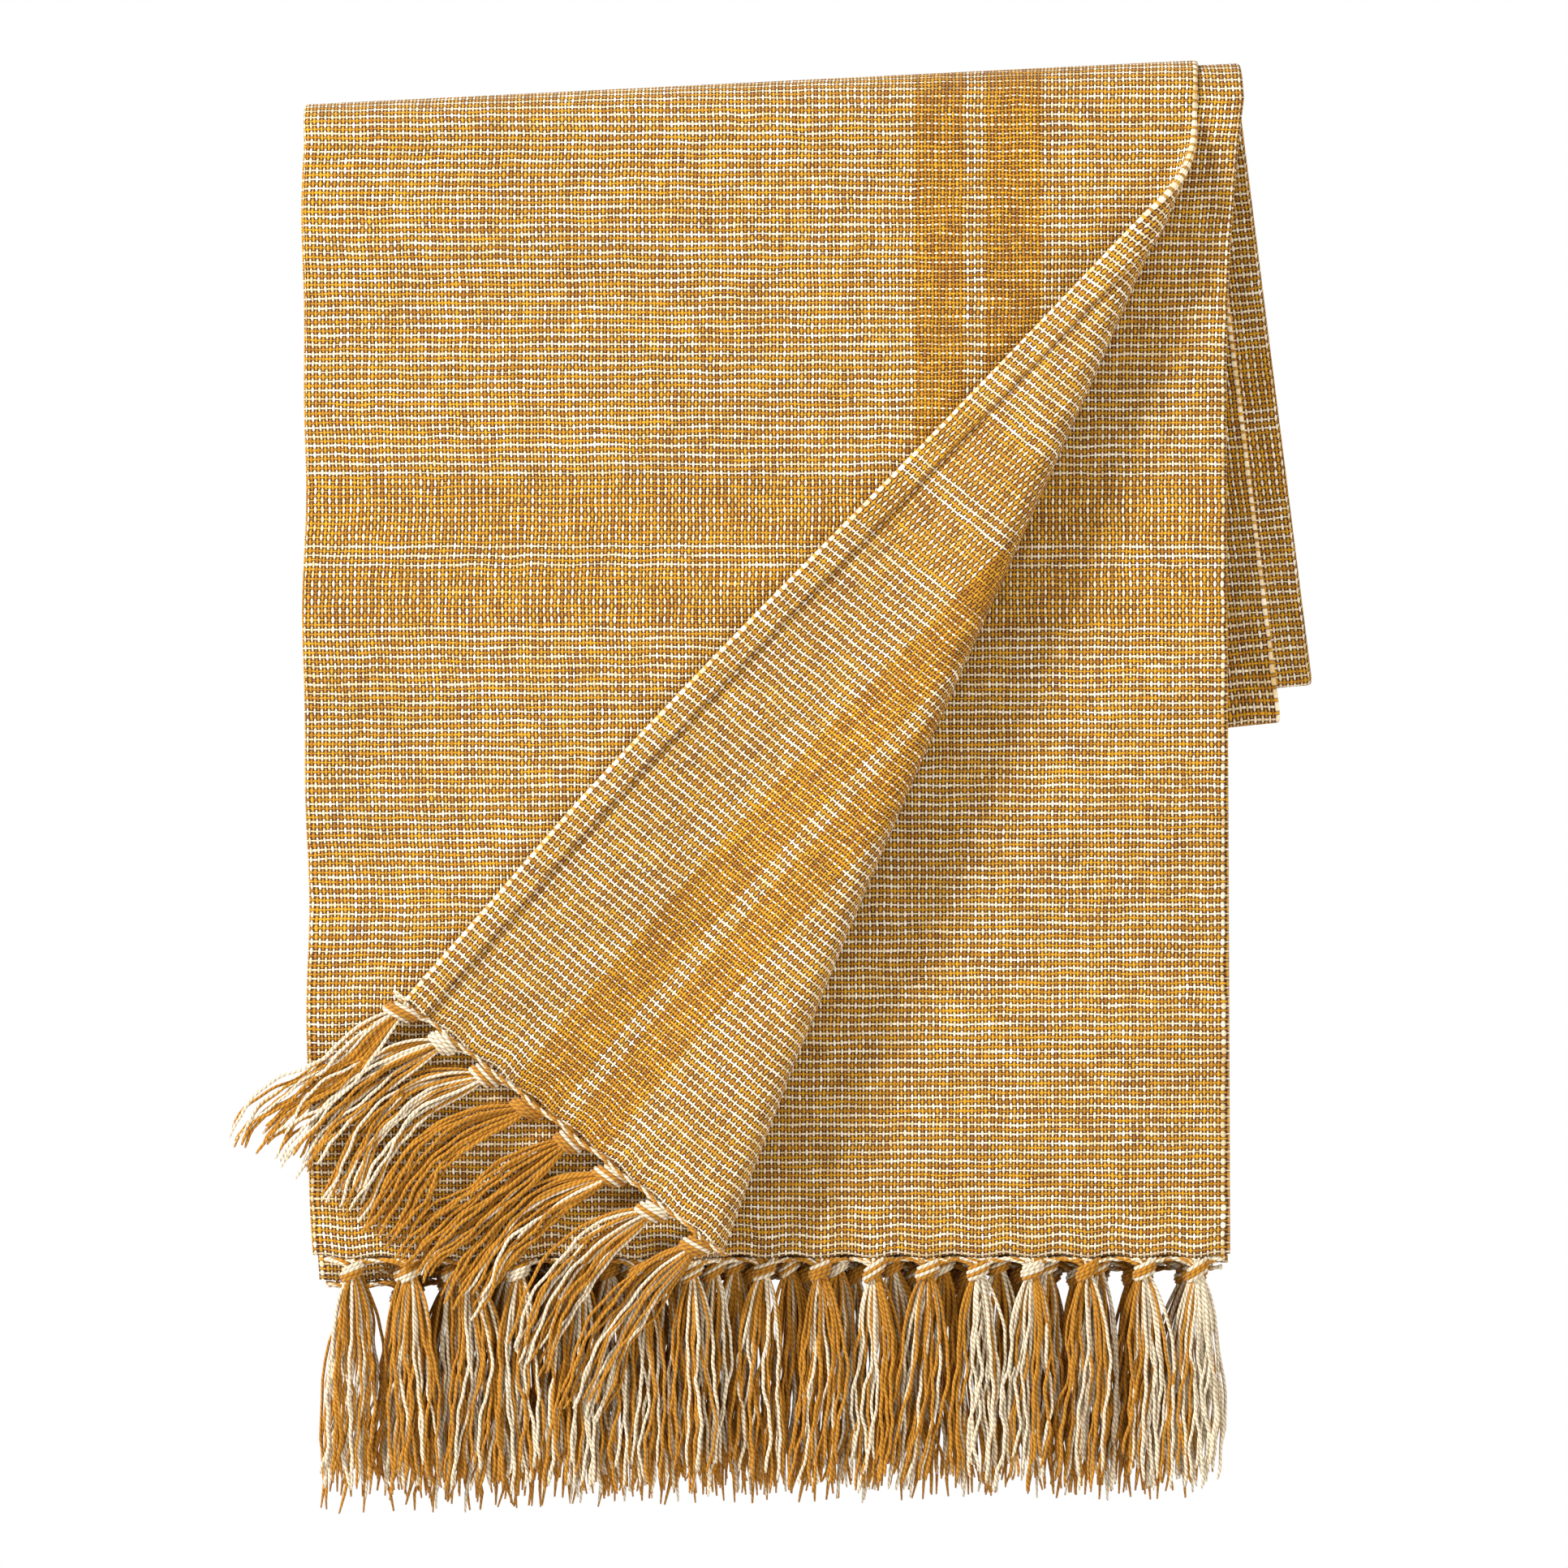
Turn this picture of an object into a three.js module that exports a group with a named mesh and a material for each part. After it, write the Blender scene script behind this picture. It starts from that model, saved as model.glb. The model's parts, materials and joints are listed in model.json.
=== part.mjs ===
// Woven throw blanket: folded in thirds along its length, folded once across, and hung over a
// sloping rail with both fringed ends in front and one corner of the front leaf turned back.
// Sizes are millimetres. +Z is up, the front faces -Y, and the rail passes through the origin.
import * as THREE from "three";
import { mergeVertices } from "three/addons/utils/BufferGeometryUtils.js";

const radians = THREE.MathUtils.degToRad;

// Cloth
const CLOTH_THICKNESS = 2.0;
const LAYER_AIR = 0.4; // between two layers where they lie over the rail
const FOLDED_WIDTH = 427.5; // from the left fold to the right fold
const FRONT_HEM_INSET = 13.3; // the front third's hem stops this far short of the right fold
const BACK_HEM_INSET = 27; // the back third's hem stops this far short of the left fold
const HEM_WIDTH = 12.3;
const SEAM_GAP = 0.3; // between two pieces that are sewn or knotted together

// Rail and hang
const RAIL_DIAMETER = 12;
const RAIL_CLEARANCE = 1;
const RAIL_SLOPE = radians(2.84); // the right end is the higher one
const BACK_SWING = 7; // the crosswise fold hangs this much further right than the slope alone gives
const FRONT_DROP = 531; // from the rail's centre to the fringed edge
const BACK_DROP = 284; // from the rail's centre to the middle third's crosswise fold
const FRONT_THIRD_SAG = 14; // the front third's crosswise fold hangs this much lower
const LAYER_SPREAD = 5.2; // how much further apart two layers hang at the fringed edge
const FRONT_LEAN = 5; // how far the front layer hangs forward at the fringed edge
const RAIL_FLARE = 8.7; // the right fold stands out this much where it meets the rail
const FLARE_DEPTH = 90; // and is straight again this far below the rail
const BACK_HEM_SHIFT = 5.5; // the front third's hem lies this much further right behind the rail

// Turned corner of the front leaf, which folds to the left along a straight line
const TURN_INSET = 8.15; // the fold's upper end lies this far left of the front third's hem
const TURN_DROP = 30; // and this far below the rail's centre
const TURN_START = 191.85; // the fold's lower end lies this far right of the left fold
const TURN_GAP = 0.5; // and this far above the fringed edge
const CORNER_REACH = 141.7; // the cloth's corner lies this far left of the fold's lower end
const CORNER_RISE = 117.2; // and this far above it

// Fringe
const TASSELS_PER_THIRD = 17;
const FRONT_TASSELS = 7; // on the front third, left of the turned corner
const FLAP_TASSELS = 8;
const BACK_TASSELS = 16;
const BACK_FRINGE_REACH = 1.85; // the back third's fringe reaches this far past its hem's edge
const FRONT_FRINGE_STOP = 11.85; // the front third's rear fringe stops this far short of its hem's edge
const TASSEL_LENGTH = 104; // from the cloth's edge to the cut yarn ends
const TASSEL_SPREAD = 18; // greatest width of the loose yarns
const SPREAD_BELOW = 72.8; // and how far below the cloth's edge it is reached
const TIP_WIDTH = 15; // width of the cut ends
const TASSEL_DEPTH = 4.6; // thickness of the loose yarns
const FLATTEN_LENGTH = 52; // below the knot the yarns fan out flat over this length
const NECK_WIDTH = 9; // warp ends where they leave the cloth
const NECK_LENGTH = 7;
const COLLAR_WIDTH = 4.8; // warp ends where they enter the knot
const KNOT_WIDTH = 11;
const KNOT_DEPTH = 6.6;
const KNOT_LENGTH = 10;
const KNOT_ROUNDING = 3; // the knot narrows over this length at both ends
const THROAT_WIDTH = 6.6; // loose yarns where they leave the knot
const TASSEL_SIDES = 6;
const FLAP_TASSEL_START = 4.5; // from the cloth's corner to the flap's first tassel
const FLAP_TASSEL_END = 8.6; // from the flap's last tassel to the fold's lower end
const FLAP_SWEEP_FIRST = radians(53); // a flap tassel's turn to the left from straight down
const FLAP_SWEEP_LAST = radians(37);
const HEADER_HEIGHT = 4; // band of last weft threads that joins a rear row's tassels

// The two layers of each third, counted outwards from the rail
const LAYERS = 6;
const FRONT_THIRD = { outer: 5, inner: 0 };
const MIDDLE_THIRD = { outer: 4, inner: 1 };
const BACK_THIRD = { outer: 3, inner: 2 };
const RAIL_STEPS = 12; // facets of a half turn over the rail
const FOLD_STEPS = 6; // facets of a half turn at the crosswise fold
const DEPTH_AXIS = new THREE.Vector3(0, 1, 0);
const FORWARD = new THREE.Vector3(0, -1, 0);

const CLOTH_COLOR = "#d2ad75";
const HEM_COLOR = "#cda468";
const YARN_COLOR = "#c98e33";

const layerPitch = CLOTH_THICKNESS + LAYER_AIR;
const innermostRadius = RAIL_DIAMETER / 2 + RAIL_CLEARANCE + CLOTH_THICKNESS / 2;
const leftFold = -FOLDED_WIDTH / 2;
const rightFold = FOLDED_WIDTH / 2;
const frontHem = rightFold - FRONT_HEM_INSET;
const backHem = leftFold + BACK_HEM_INSET;
const tasselPitch = FOLDED_WIDTH / TASSELS_PER_THIRD;
const frontTasselPitch = TURN_START / FRONT_TASSELS;
const backFringeLeft = backHem - BACK_FRINGE_REACH;
const backTasselPitch = (rightFold - backFringeLeft) / BACK_TASSELS;
const rearFrontPitch = (frontHem - FRONT_FRINGE_STOP - leftFold) / BACK_TASSELS;
const outermost = LAYERS - 1;
const foldTop = new THREE.Vector2(frontHem - TURN_INSET, -TURN_DROP);
const foldBottom = new THREE.Vector2(leftFold + TURN_START, TURN_GAP - FRONT_DROP);
const flapCorner = foldBottom.clone().add(new THREE.Vector2(-CORNER_REACH, CORNER_RISE));

// Radius of a layer's middle surface over the rail: layer 0 touches the rail, layer 5 is outermost.
const layerRadius = (layer) => innermostRadius + layer * layerPitch;

// Depth of a layer of the front drop at height z: the layers hang apart towards the fringe.
function frontDepth(layer, z) {
  const drop = Math.max(0, -z) / FRONT_DROP;
  const behind = outermost - layer;
  return -layerRadius(layer) + drop * (behind * LAYER_SPREAD - FRONT_LEAN);
}

const frontPoint = (x, z, layer) => new THREE.Vector3(x, frontDepth(layer, z), z);

// Sideways drift of a cloth edge that crosses the sloping rail along an arc of this radius.
const railDrift = (radius, angle) => radius * angle * Math.sin(RAIL_SLOPE);

// Point of a layer over the rail: angle 0 is in front of the rail, PI behind it.
function railPoint(x, angle, layer) {
  const radius = layerRadius(layer);
  const along = (x + railDrift(radius, angle)) / Math.cos(RAIL_SLOPE);
  const point = new THREE.Vector3(along, -radius * Math.cos(angle), radius * Math.sin(angle));
  return point.applyAxisAngle(DEPTH_AXIS, -RAIL_SLOPE);
}

// Point of the back drop: across the cloth, depth from the rail, and distance down the cloth.
const backPoint = (across, depth, down) =>
  new THREE.Vector3(across, depth, -down).applyAxisAngle(DEPTH_AXIS, -2 * RAIL_SLOPE);

// One row of a strip of cloth: its left and right ends and the side that its face looks to.
const row = (left, right, face) => ({ left, right, face });

const frontRow = (edges, z, layer, side) =>
  row(frontPoint(edges[0], z, layer), frontPoint(edges[1], z, layer), new THREE.Vector3(0, side, 0));

// Rows over the rail, from the front to the back of it; side -1 is the layer's face to the rail.
function railRows(edges, layer, side) {
  const drift = railDrift(layerRadius(layer), Math.PI);
  return Array.from({ length: RAIL_STEPS + 1 }, (_, step) => {
    const angle = (Math.PI * step) / RAIL_STEPS;
    const ends = [0, 1].map((end) => {
      const behind = edges.back[end] - drift;
      return THREE.MathUtils.lerp(edges.rail[end], behind, step / RAIL_STEPS);
    });
    const face = new THREE.Vector3(0, -Math.cos(angle), Math.sin(angle)).multiplyScalar(side);
    face.applyAxisAngle(DEPTH_AXIS, -RAIL_SLOPE);
    return row(railPoint(ends[0], angle, layer), railPoint(ends[1], angle, layer), face);
  });
}

// Rows of the half turn at the crosswise fold, from the outer layer to the inner one.
function crosswiseRows(edges, outer, inner, drop) {
  const middle = (layerRadius(outer) + layerRadius(inner)) / 2;
  const radius = (layerRadius(outer) - layerRadius(inner)) / 2;
  return Array.from({ length: FOLD_STEPS + 1 }, (_, step) => {
    const angle = (Math.PI * step) / FOLD_STEPS;
    const depth = middle + radius * Math.cos(angle);
    const down = drop + radius * Math.sin(angle);
    return row(
      backPoint(edges.back[0] + BACK_SWING, depth, down),
      backPoint(edges.back[1] + BACK_SWING, depth, down),
      backPoint(0, Math.cos(angle), Math.sin(angle)),
    );
  });
}

// All rows of a strip that runs from one fringed edge over the rail, round the crosswise fold and
// back over the rail to the other fringed edge.
function stripRows({ edges, outer, inner, drop, firstRows }) {
  return [
    ...firstRows,
    ...railRows(edges, outer, 1),
    ...crosswiseRows(edges, outer, inner, drop),
    ...railRows(edges, inner, -1).reverse(),
    frontRow(edges.front, -FLARE_DEPTH, inner, 1),
    frontRow(edges.front, -FRONT_DROP, inner, 1),
  ];
}

// A strip of cloth: a box with one slice per row, bent so that each slice lies on its row.
function bentStrip(rows) {
  const box = new THREE.BoxGeometry(1, rows.length - 1, 1, 1, rows.length - 1, 1);
  const position = box.getAttribute("position");
  const start = -(rows.length - 1) / 2;
  for (let i = 0; i < position.count; i++) {
    const { left, right, face } = rows[Math.round(position.getY(i) - start)];
    const point = left.clone().lerp(right, position.getX(i) + 0.5);
    point.addScaledVector(face, position.getZ(i) * CLOTH_THICKNESS);
    position.setXYZ(i, point.x, point.y, point.z);
  }
  return closed(box);
}

// The geometry with only its positions, its shared corners merged and its normals worked out.
function closed(geometry) {
  geometry.deleteAttribute("normal");
  geometry.deleteAttribute("uv");
  const merged = mergeVertices(geometry);
  merged.computeVertexNormals();
  return merged;
}

const root = new THREE.Group();

function addPiece(name, geometry, color) {
  const material = new THREE.MeshStandardMaterial({ color, roughness: 0.9, metalness: 0 });
  const mesh = new THREE.Mesh(geometry, material);
  mesh.name = name;
  root.add(mesh);
}

// Points of the turned corner's fold line at a given x, and at a given height.
const foldLineAt = (x) =>
  foldBottom.clone().lerp(foldTop, (x - foldBottom.x) / (foldTop.x - foldBottom.x));
const foldLineAtHeight = (z) =>
  foldBottom.clone().lerp(foldTop, (z - foldBottom.y) / (foldTop.y - foldBottom.y));

// The front third's strips end, in front, at the fold line of the turned corner.
function frontThirdStrip(firstRows, left, right, leftShift) {
  const edges = { front: [left, right], rail: [left, right] };
  edges.back = [left + leftShift, right + BACK_HEM_SHIFT];
  const drop = BACK_DROP + FRONT_THIRD_SAG;
  return bentStrip(stripRows({ edges, ...FRONT_THIRD, drop, firstRows }));
}

function frontThird() {
  const right = frontHem - HEM_WIDTH;
  const above = foldLineAt(right);
  const below = foldLineAtHeight(-FRONT_DROP);
  const topRow = row(
    frontPoint(leftFold, -FLARE_DEPTH, outermost),
    frontPoint(above.x, above.y, outermost),
    FORWARD,
  );
  const firstRows = [frontRow([leftFold, below.x], -FRONT_DROP, outermost, -1), topRow];
  return frontThirdStrip(firstRows, leftFold, right, 0);
}

// The hem along the front third's free edge, from the turned corner to the rear fringe.
function frontThirdHem() {
  const left = frontHem - HEM_WIDTH + SEAM_GAP;
  const [inner, outer] = [left, frontHem].map(foldLineAt);
  const firstRow = row(
    frontPoint(inner.x, inner.y, outermost),
    frontPoint(outer.x, outer.y, outermost),
    FORWARD,
  );
  return frontThirdStrip([firstRow], left, frontHem, BACK_HEM_SHIFT);
}

// A strip of the middle or back third, which hangs whole on both sides of the rail.
function plainStrip({ outer, inner }, left, right, flare) {
  const edges = { front: [left, right], rail: [left, right + flare], back: [left, right + flare] };
  const firstRows = [-FRONT_DROP, -FLARE_DEPTH].map((z) => frontRow(edges.front, z, outer, -1));
  return bentStrip(stripRows({ edges, outer, inner, drop: BACK_DROP, firstRows }));
}

// Leans a piece that was built upright in front of the rail to hang along the front layer.
function leanForward(geometry) {
  const position = geometry.getAttribute("position");
  for (let i = 0; i < position.count; i++)
    position.setY(i, position.getY(i) + (FRONT_LEAN * position.getZ(i)) / FRONT_DROP);
  return closed(geometry);
}

// A flat plate in front of the front layer, from its outline in x and z.
function flapPlate(outline) {
  const shape = new THREE.Shape(outline);
  const plate = new THREE.ExtrudeGeometry(shape, {
    depth: CLOTH_THICKNESS,
    bevelEnabled: false,
    steps: 1,
  });
  plate.rotateX(Math.PI / 2);
  plate.translate(0, -layerRadius(outermost) - CLOTH_THICKNESS / 2 - LAYER_AIR, 0);
  return leanForward(plate);
}

// Where a line through two points, moved sideways by a distance, crosses a line through two others.
function crossing([a, b], offset, [c, d]) {
  const along = b.clone().sub(a).normalize();
  const start = a.clone().add(new THREE.Vector2(-along.y, along.x).multiplyScalar(offset));
  const other = d.clone().sub(c);
  const share = along.cross(start.clone().sub(c)) / along.cross(other);
  return c.clone().addScaledVector(other, share);
}

const hemLine = [foldTop, flapCorner];
const foldLine = [foldTop, foldBottom];
const fringeLine = [flapCorner, foldBottom];

const cornerFlap = () => flapPlate([
  crossing(hemLine, HEM_WIDTH + SEAM_GAP, foldLine),
  crossing(hemLine, HEM_WIDTH + SEAM_GAP, fringeLine),
  foldBottom,
]);

const flapHem = () => flapPlate([
  foldTop,
  flapCorner,
  crossing(hemLine, HEM_WIDTH, fringeLine),
  crossing(hemLine, HEM_WIDTH, foldLine),
]);

// Half widths of a tassel at distances below the cloth's edge, from its cut ends up.
function tasselProfile() {
  const knotTop = NECK_LENGTH;
  const knotBottom = NECK_LENGTH + KNOT_LENGTH;
  return [
    [0, TASSEL_LENGTH],
    [TIP_WIDTH / 2, TASSEL_LENGTH],
    [TASSEL_SPREAD / 2, SPREAD_BELOW],
    [THROAT_WIDTH / 2, knotBottom + SEAM_GAP],
    [KNOT_WIDTH / 2, knotBottom - KNOT_ROUNDING],
    [KNOT_WIDTH / 2, knotTop + KNOT_ROUNDING],
    [COLLAR_WIDTH / 2, knotTop],
    [NECK_WIDTH / 2, SEAM_GAP],
    [0, SEAM_GAP],
  ];
}

// A tassel that hangs from the origin: warp ends, knot and loose yarns, thinner than it is wide.
function tassel() {
  const points = tasselProfile().map(([radius, below]) => new THREE.Vector2(radius, -below));
  const lathe = new THREE.LatheGeometry(points, TASSEL_SIDES);
  const position = lathe.getAttribute("position");
  const knotShape = KNOT_DEPTH / KNOT_WIDTH;
  const looseShape = TASSEL_DEPTH / TASSEL_SPREAD;
  for (let i = 0; i < position.count; i++) {
    const belowKnot = -position.getY(i) - NECK_LENGTH - KNOT_LENGTH;
    const share = THREE.MathUtils.clamp(belowKnot / FLATTEN_LENGTH, 0, 1);
    const flat = THREE.MathUtils.lerp(knotShape, looseShape, share);
    position.setZ(i, position.getZ(i) * flat);
  }
  lathe.rotateX(Math.PI / 2);
  return lathe;
}

const tasselName = (place, index) => `${place}_tassel_${String(index + 1).padStart(2, "0")}`;

// The separate tassels of one third of the front fringed edge.
function addTasselRow(place, count, pitch, layer, left) {
  for (let index = 0; index < count; index++) {
    const hung = closed(tassel());
    const top = frontPoint(left + pitch * (index + 0.5), -FRONT_DROP, layer);
    hung.translate(top.x, top.y, top.z);
    addPiece(tasselName(place, index), hung, YARN_COLOR);
  }
}

// The turned corner's tassels lie in front of the front leaf and its own tassels.
function addFlapTassels() {
  const edge = flapCorner.distanceTo(foldBottom);
  const start = FLAP_TASSEL_START / edge;
  const end = 1 - FLAP_TASSEL_END / edge;
  const depth = layerRadius(outermost) + KNOT_DEPTH + SEAM_GAP + CLOTH_THICKNESS / 2;
  for (let index = 0; index < FLAP_TASSELS; index++) {
    const share = index / (FLAP_TASSELS - 1);
    const place = flapCorner.clone().lerp(foldBottom, THREE.MathUtils.lerp(start, end, share));
    const swept = tassel();
    swept.rotateY(THREE.MathUtils.lerp(FLAP_SWEEP_FIRST, FLAP_SWEEP_LAST, share));
    swept.translate(place.x, -depth, place.y);
    addPiece(tasselName("flap", index), leanForward(swept), YARN_COLOR);
  }
}

// A rear row of fringe: its tassels, joined by the band of last weft threads, as one flat comb.
function fringeComb(count, pitch) {
  const shape = new THREE.Shape();
  shape.moveTo(0, -SEAM_GAP);
  shape.lineTo(0, -HEADER_HEIGHT);
  const profile = tasselProfile().filter(([width, below]) => width > 0 && below > HEADER_HEIGHT);
  for (let index = 0; index < count; index++) {
    const middle = pitch * (index + 0.5);
    const down = [...profile].reverse();
    shape.lineTo(middle - NECK_WIDTH / 2, -HEADER_HEIGHT);
    down.forEach(([width, below]) => shape.lineTo(middle - width, -below));
    profile.forEach(([width, below]) => shape.lineTo(middle + width, -below));
    shape.lineTo(middle + NECK_WIDTH / 2, -HEADER_HEIGHT);
  }
  shape.lineTo(pitch * count, -HEADER_HEIGHT);
  shape.lineTo(pitch * count, -SEAM_GAP);
  const comb = new THREE.ExtrudeGeometry(shape, {
    depth: TASSEL_DEPTH,
    bevelEnabled: false,
    steps: 1,
  });
  comb.rotateX(Math.PI / 2);
  comb.translate(0, TASSEL_DEPTH / 2, 0);
  return comb;
}

function addRearRow(name, count, pitch, layer, left) {
  const comb = closed(fringeComb(count, pitch));
  const corner = frontPoint(left, -FRONT_DROP, layer);
  comb.translate(corner.x, corner.y, corner.z);
  addPiece(name, comb, YARN_COLOR);
}

addPiece("front_third", frontThird(), CLOTH_COLOR);
addPiece("front_hem", frontThirdHem(), HEM_COLOR);
addPiece("middle_third", plainStrip(MIDDLE_THIRD, leftFold, rightFold, RAIL_FLARE), CLOTH_COLOR);
addPiece(
  "back_third",
  plainStrip(BACK_THIRD, backHem + HEM_WIDTH + SEAM_GAP, rightFold, RAIL_FLARE),
  CLOTH_COLOR,
);
addPiece("back_hem", plainStrip(BACK_THIRD, backHem, backHem + HEM_WIDTH, 0), HEM_COLOR);
addPiece("corner_flap", cornerFlap(), CLOTH_COLOR);
addPiece("flap_hem", flapHem(), HEM_COLOR);
addTasselRow("front", FRONT_TASSELS, frontTasselPitch, FRONT_THIRD.outer, leftFold);
addTasselRow("middle", TASSELS_PER_THIRD, tasselPitch, MIDDLE_THIRD.outer, leftFold);
addTasselRow("back", BACK_TASSELS, backTasselPitch, BACK_THIRD.outer, backFringeLeft);
addFlapTassels();
addRearRow("rear_back_fringe", BACK_TASSELS, backTasselPitch, BACK_THIRD.inner, backFringeLeft);
addRearRow("rear_middle_fringe", TASSELS_PER_THIRD, tasselPitch, MIDDLE_THIRD.inner, leftFold);
addRearRow("rear_front_fringe", BACK_TASSELS, rearFrontPitch, FRONT_THIRD.inner, leftFold);

export default root;
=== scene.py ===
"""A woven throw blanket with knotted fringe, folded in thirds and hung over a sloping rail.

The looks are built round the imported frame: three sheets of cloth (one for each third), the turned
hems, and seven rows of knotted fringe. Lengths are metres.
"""

import json
import logging
import math
from dataclasses import dataclass
from enum import Enum
from typing import Any, Optional, Sequence

import bpy
import numpy as np
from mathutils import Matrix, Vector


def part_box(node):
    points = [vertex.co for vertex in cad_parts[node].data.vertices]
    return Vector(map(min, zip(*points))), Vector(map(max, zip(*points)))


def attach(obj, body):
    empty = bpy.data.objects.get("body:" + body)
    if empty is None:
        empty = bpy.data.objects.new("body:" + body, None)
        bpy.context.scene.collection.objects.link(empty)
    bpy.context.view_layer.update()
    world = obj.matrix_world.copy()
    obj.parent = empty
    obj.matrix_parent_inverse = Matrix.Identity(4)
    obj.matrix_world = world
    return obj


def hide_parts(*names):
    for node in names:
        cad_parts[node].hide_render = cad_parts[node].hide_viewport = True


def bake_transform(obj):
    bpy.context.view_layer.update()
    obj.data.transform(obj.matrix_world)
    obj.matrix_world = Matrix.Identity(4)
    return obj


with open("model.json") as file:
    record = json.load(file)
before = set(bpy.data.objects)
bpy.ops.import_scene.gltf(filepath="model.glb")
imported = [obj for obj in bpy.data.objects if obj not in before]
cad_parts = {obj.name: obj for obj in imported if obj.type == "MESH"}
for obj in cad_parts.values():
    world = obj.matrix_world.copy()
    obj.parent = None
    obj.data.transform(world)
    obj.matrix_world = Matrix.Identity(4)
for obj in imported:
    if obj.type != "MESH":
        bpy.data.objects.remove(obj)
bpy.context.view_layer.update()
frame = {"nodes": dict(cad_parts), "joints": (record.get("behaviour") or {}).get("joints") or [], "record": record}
LOG = logging.getLogger("throw")
MM = 0.001


# ---------------------------------------------------------------- small helpers
def linear(colour: str) -> tuple[float, float, float, float]:
    """Turns an sRGB hex colour into linear RGBA.

    Args:
        colour: the colour as "#rrggbb".

    Returns:
        Red, green, blue and an alpha of 1.
    """
    parts = [int(colour[i : i + 2], 16) / 255 for i in (1, 3, 5)]
    rgb = [c / 12.92 if c <= 0.04045 else ((c + 0.055) / 1.055) ** 2.4 for c in parts]
    return (rgb[0], rgb[1], rgb[2], 1.0)


def smooth(share: np.ndarray) -> np.ndarray:
    """Eases 0..1 to 0..1 with level ends: 3t^2 - 2t^3, held outside the range."""
    t = np.clip(share, 0.0, 1.0)
    return t * t * (3 - 2 * t)


def lerp(a: Any, b: Any, share: Any) -> Any:
    """Goes from a to b in proportion to share."""
    return a + (b - a) * share


def unit(vectors: np.ndarray) -> np.ndarray:
    """Scales each vector to length 1."""
    return vectors / np.maximum(np.linalg.norm(vectors, axis=-1, keepdims=True), 1e-12)


def turned_about_depth(points: np.ndarray, angle: float) -> np.ndarray:
    """Turns points about the depth axis, so that a positive angle lifts +X.

    Args:
        points: array of points, the last axis holding x, y and z.
        angle: the turn in radians.

    Returns:
        The turned points.
    """
    c, s = math.cos(angle), math.sin(angle)
    x, y, z = points[..., 0], points[..., 1], points[..., 2]
    return np.stack([x * c - z * s, y, x * s + z * c], axis=-1)


def nodes_named(start: str) -> list[str]:
    """Names of the frame's nodes that begin with a word."""
    return sorted(name for name in frame["nodes"] if name.startswith(start))


# ---------------------------------------------------------------- the hang
class Side(Enum):
    """Which side of a third a fold lies on: the sign is its direction along X."""

    LEFT = -1
    RIGHT = 1


@dataclass(frozen=True)
class Ripple:
    """A sine over the front drop: radians for each metre across and up, its phase and its height."""

    across: float
    up: float
    phase: float
    height: float

    def at(self, x: Any, z: np.ndarray) -> np.ndarray:
        """Height of the ripple: sine of (across times x + up times z + phase)."""
        return self.height * np.sin(self.across * x + self.up * z + self.phase)


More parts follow.
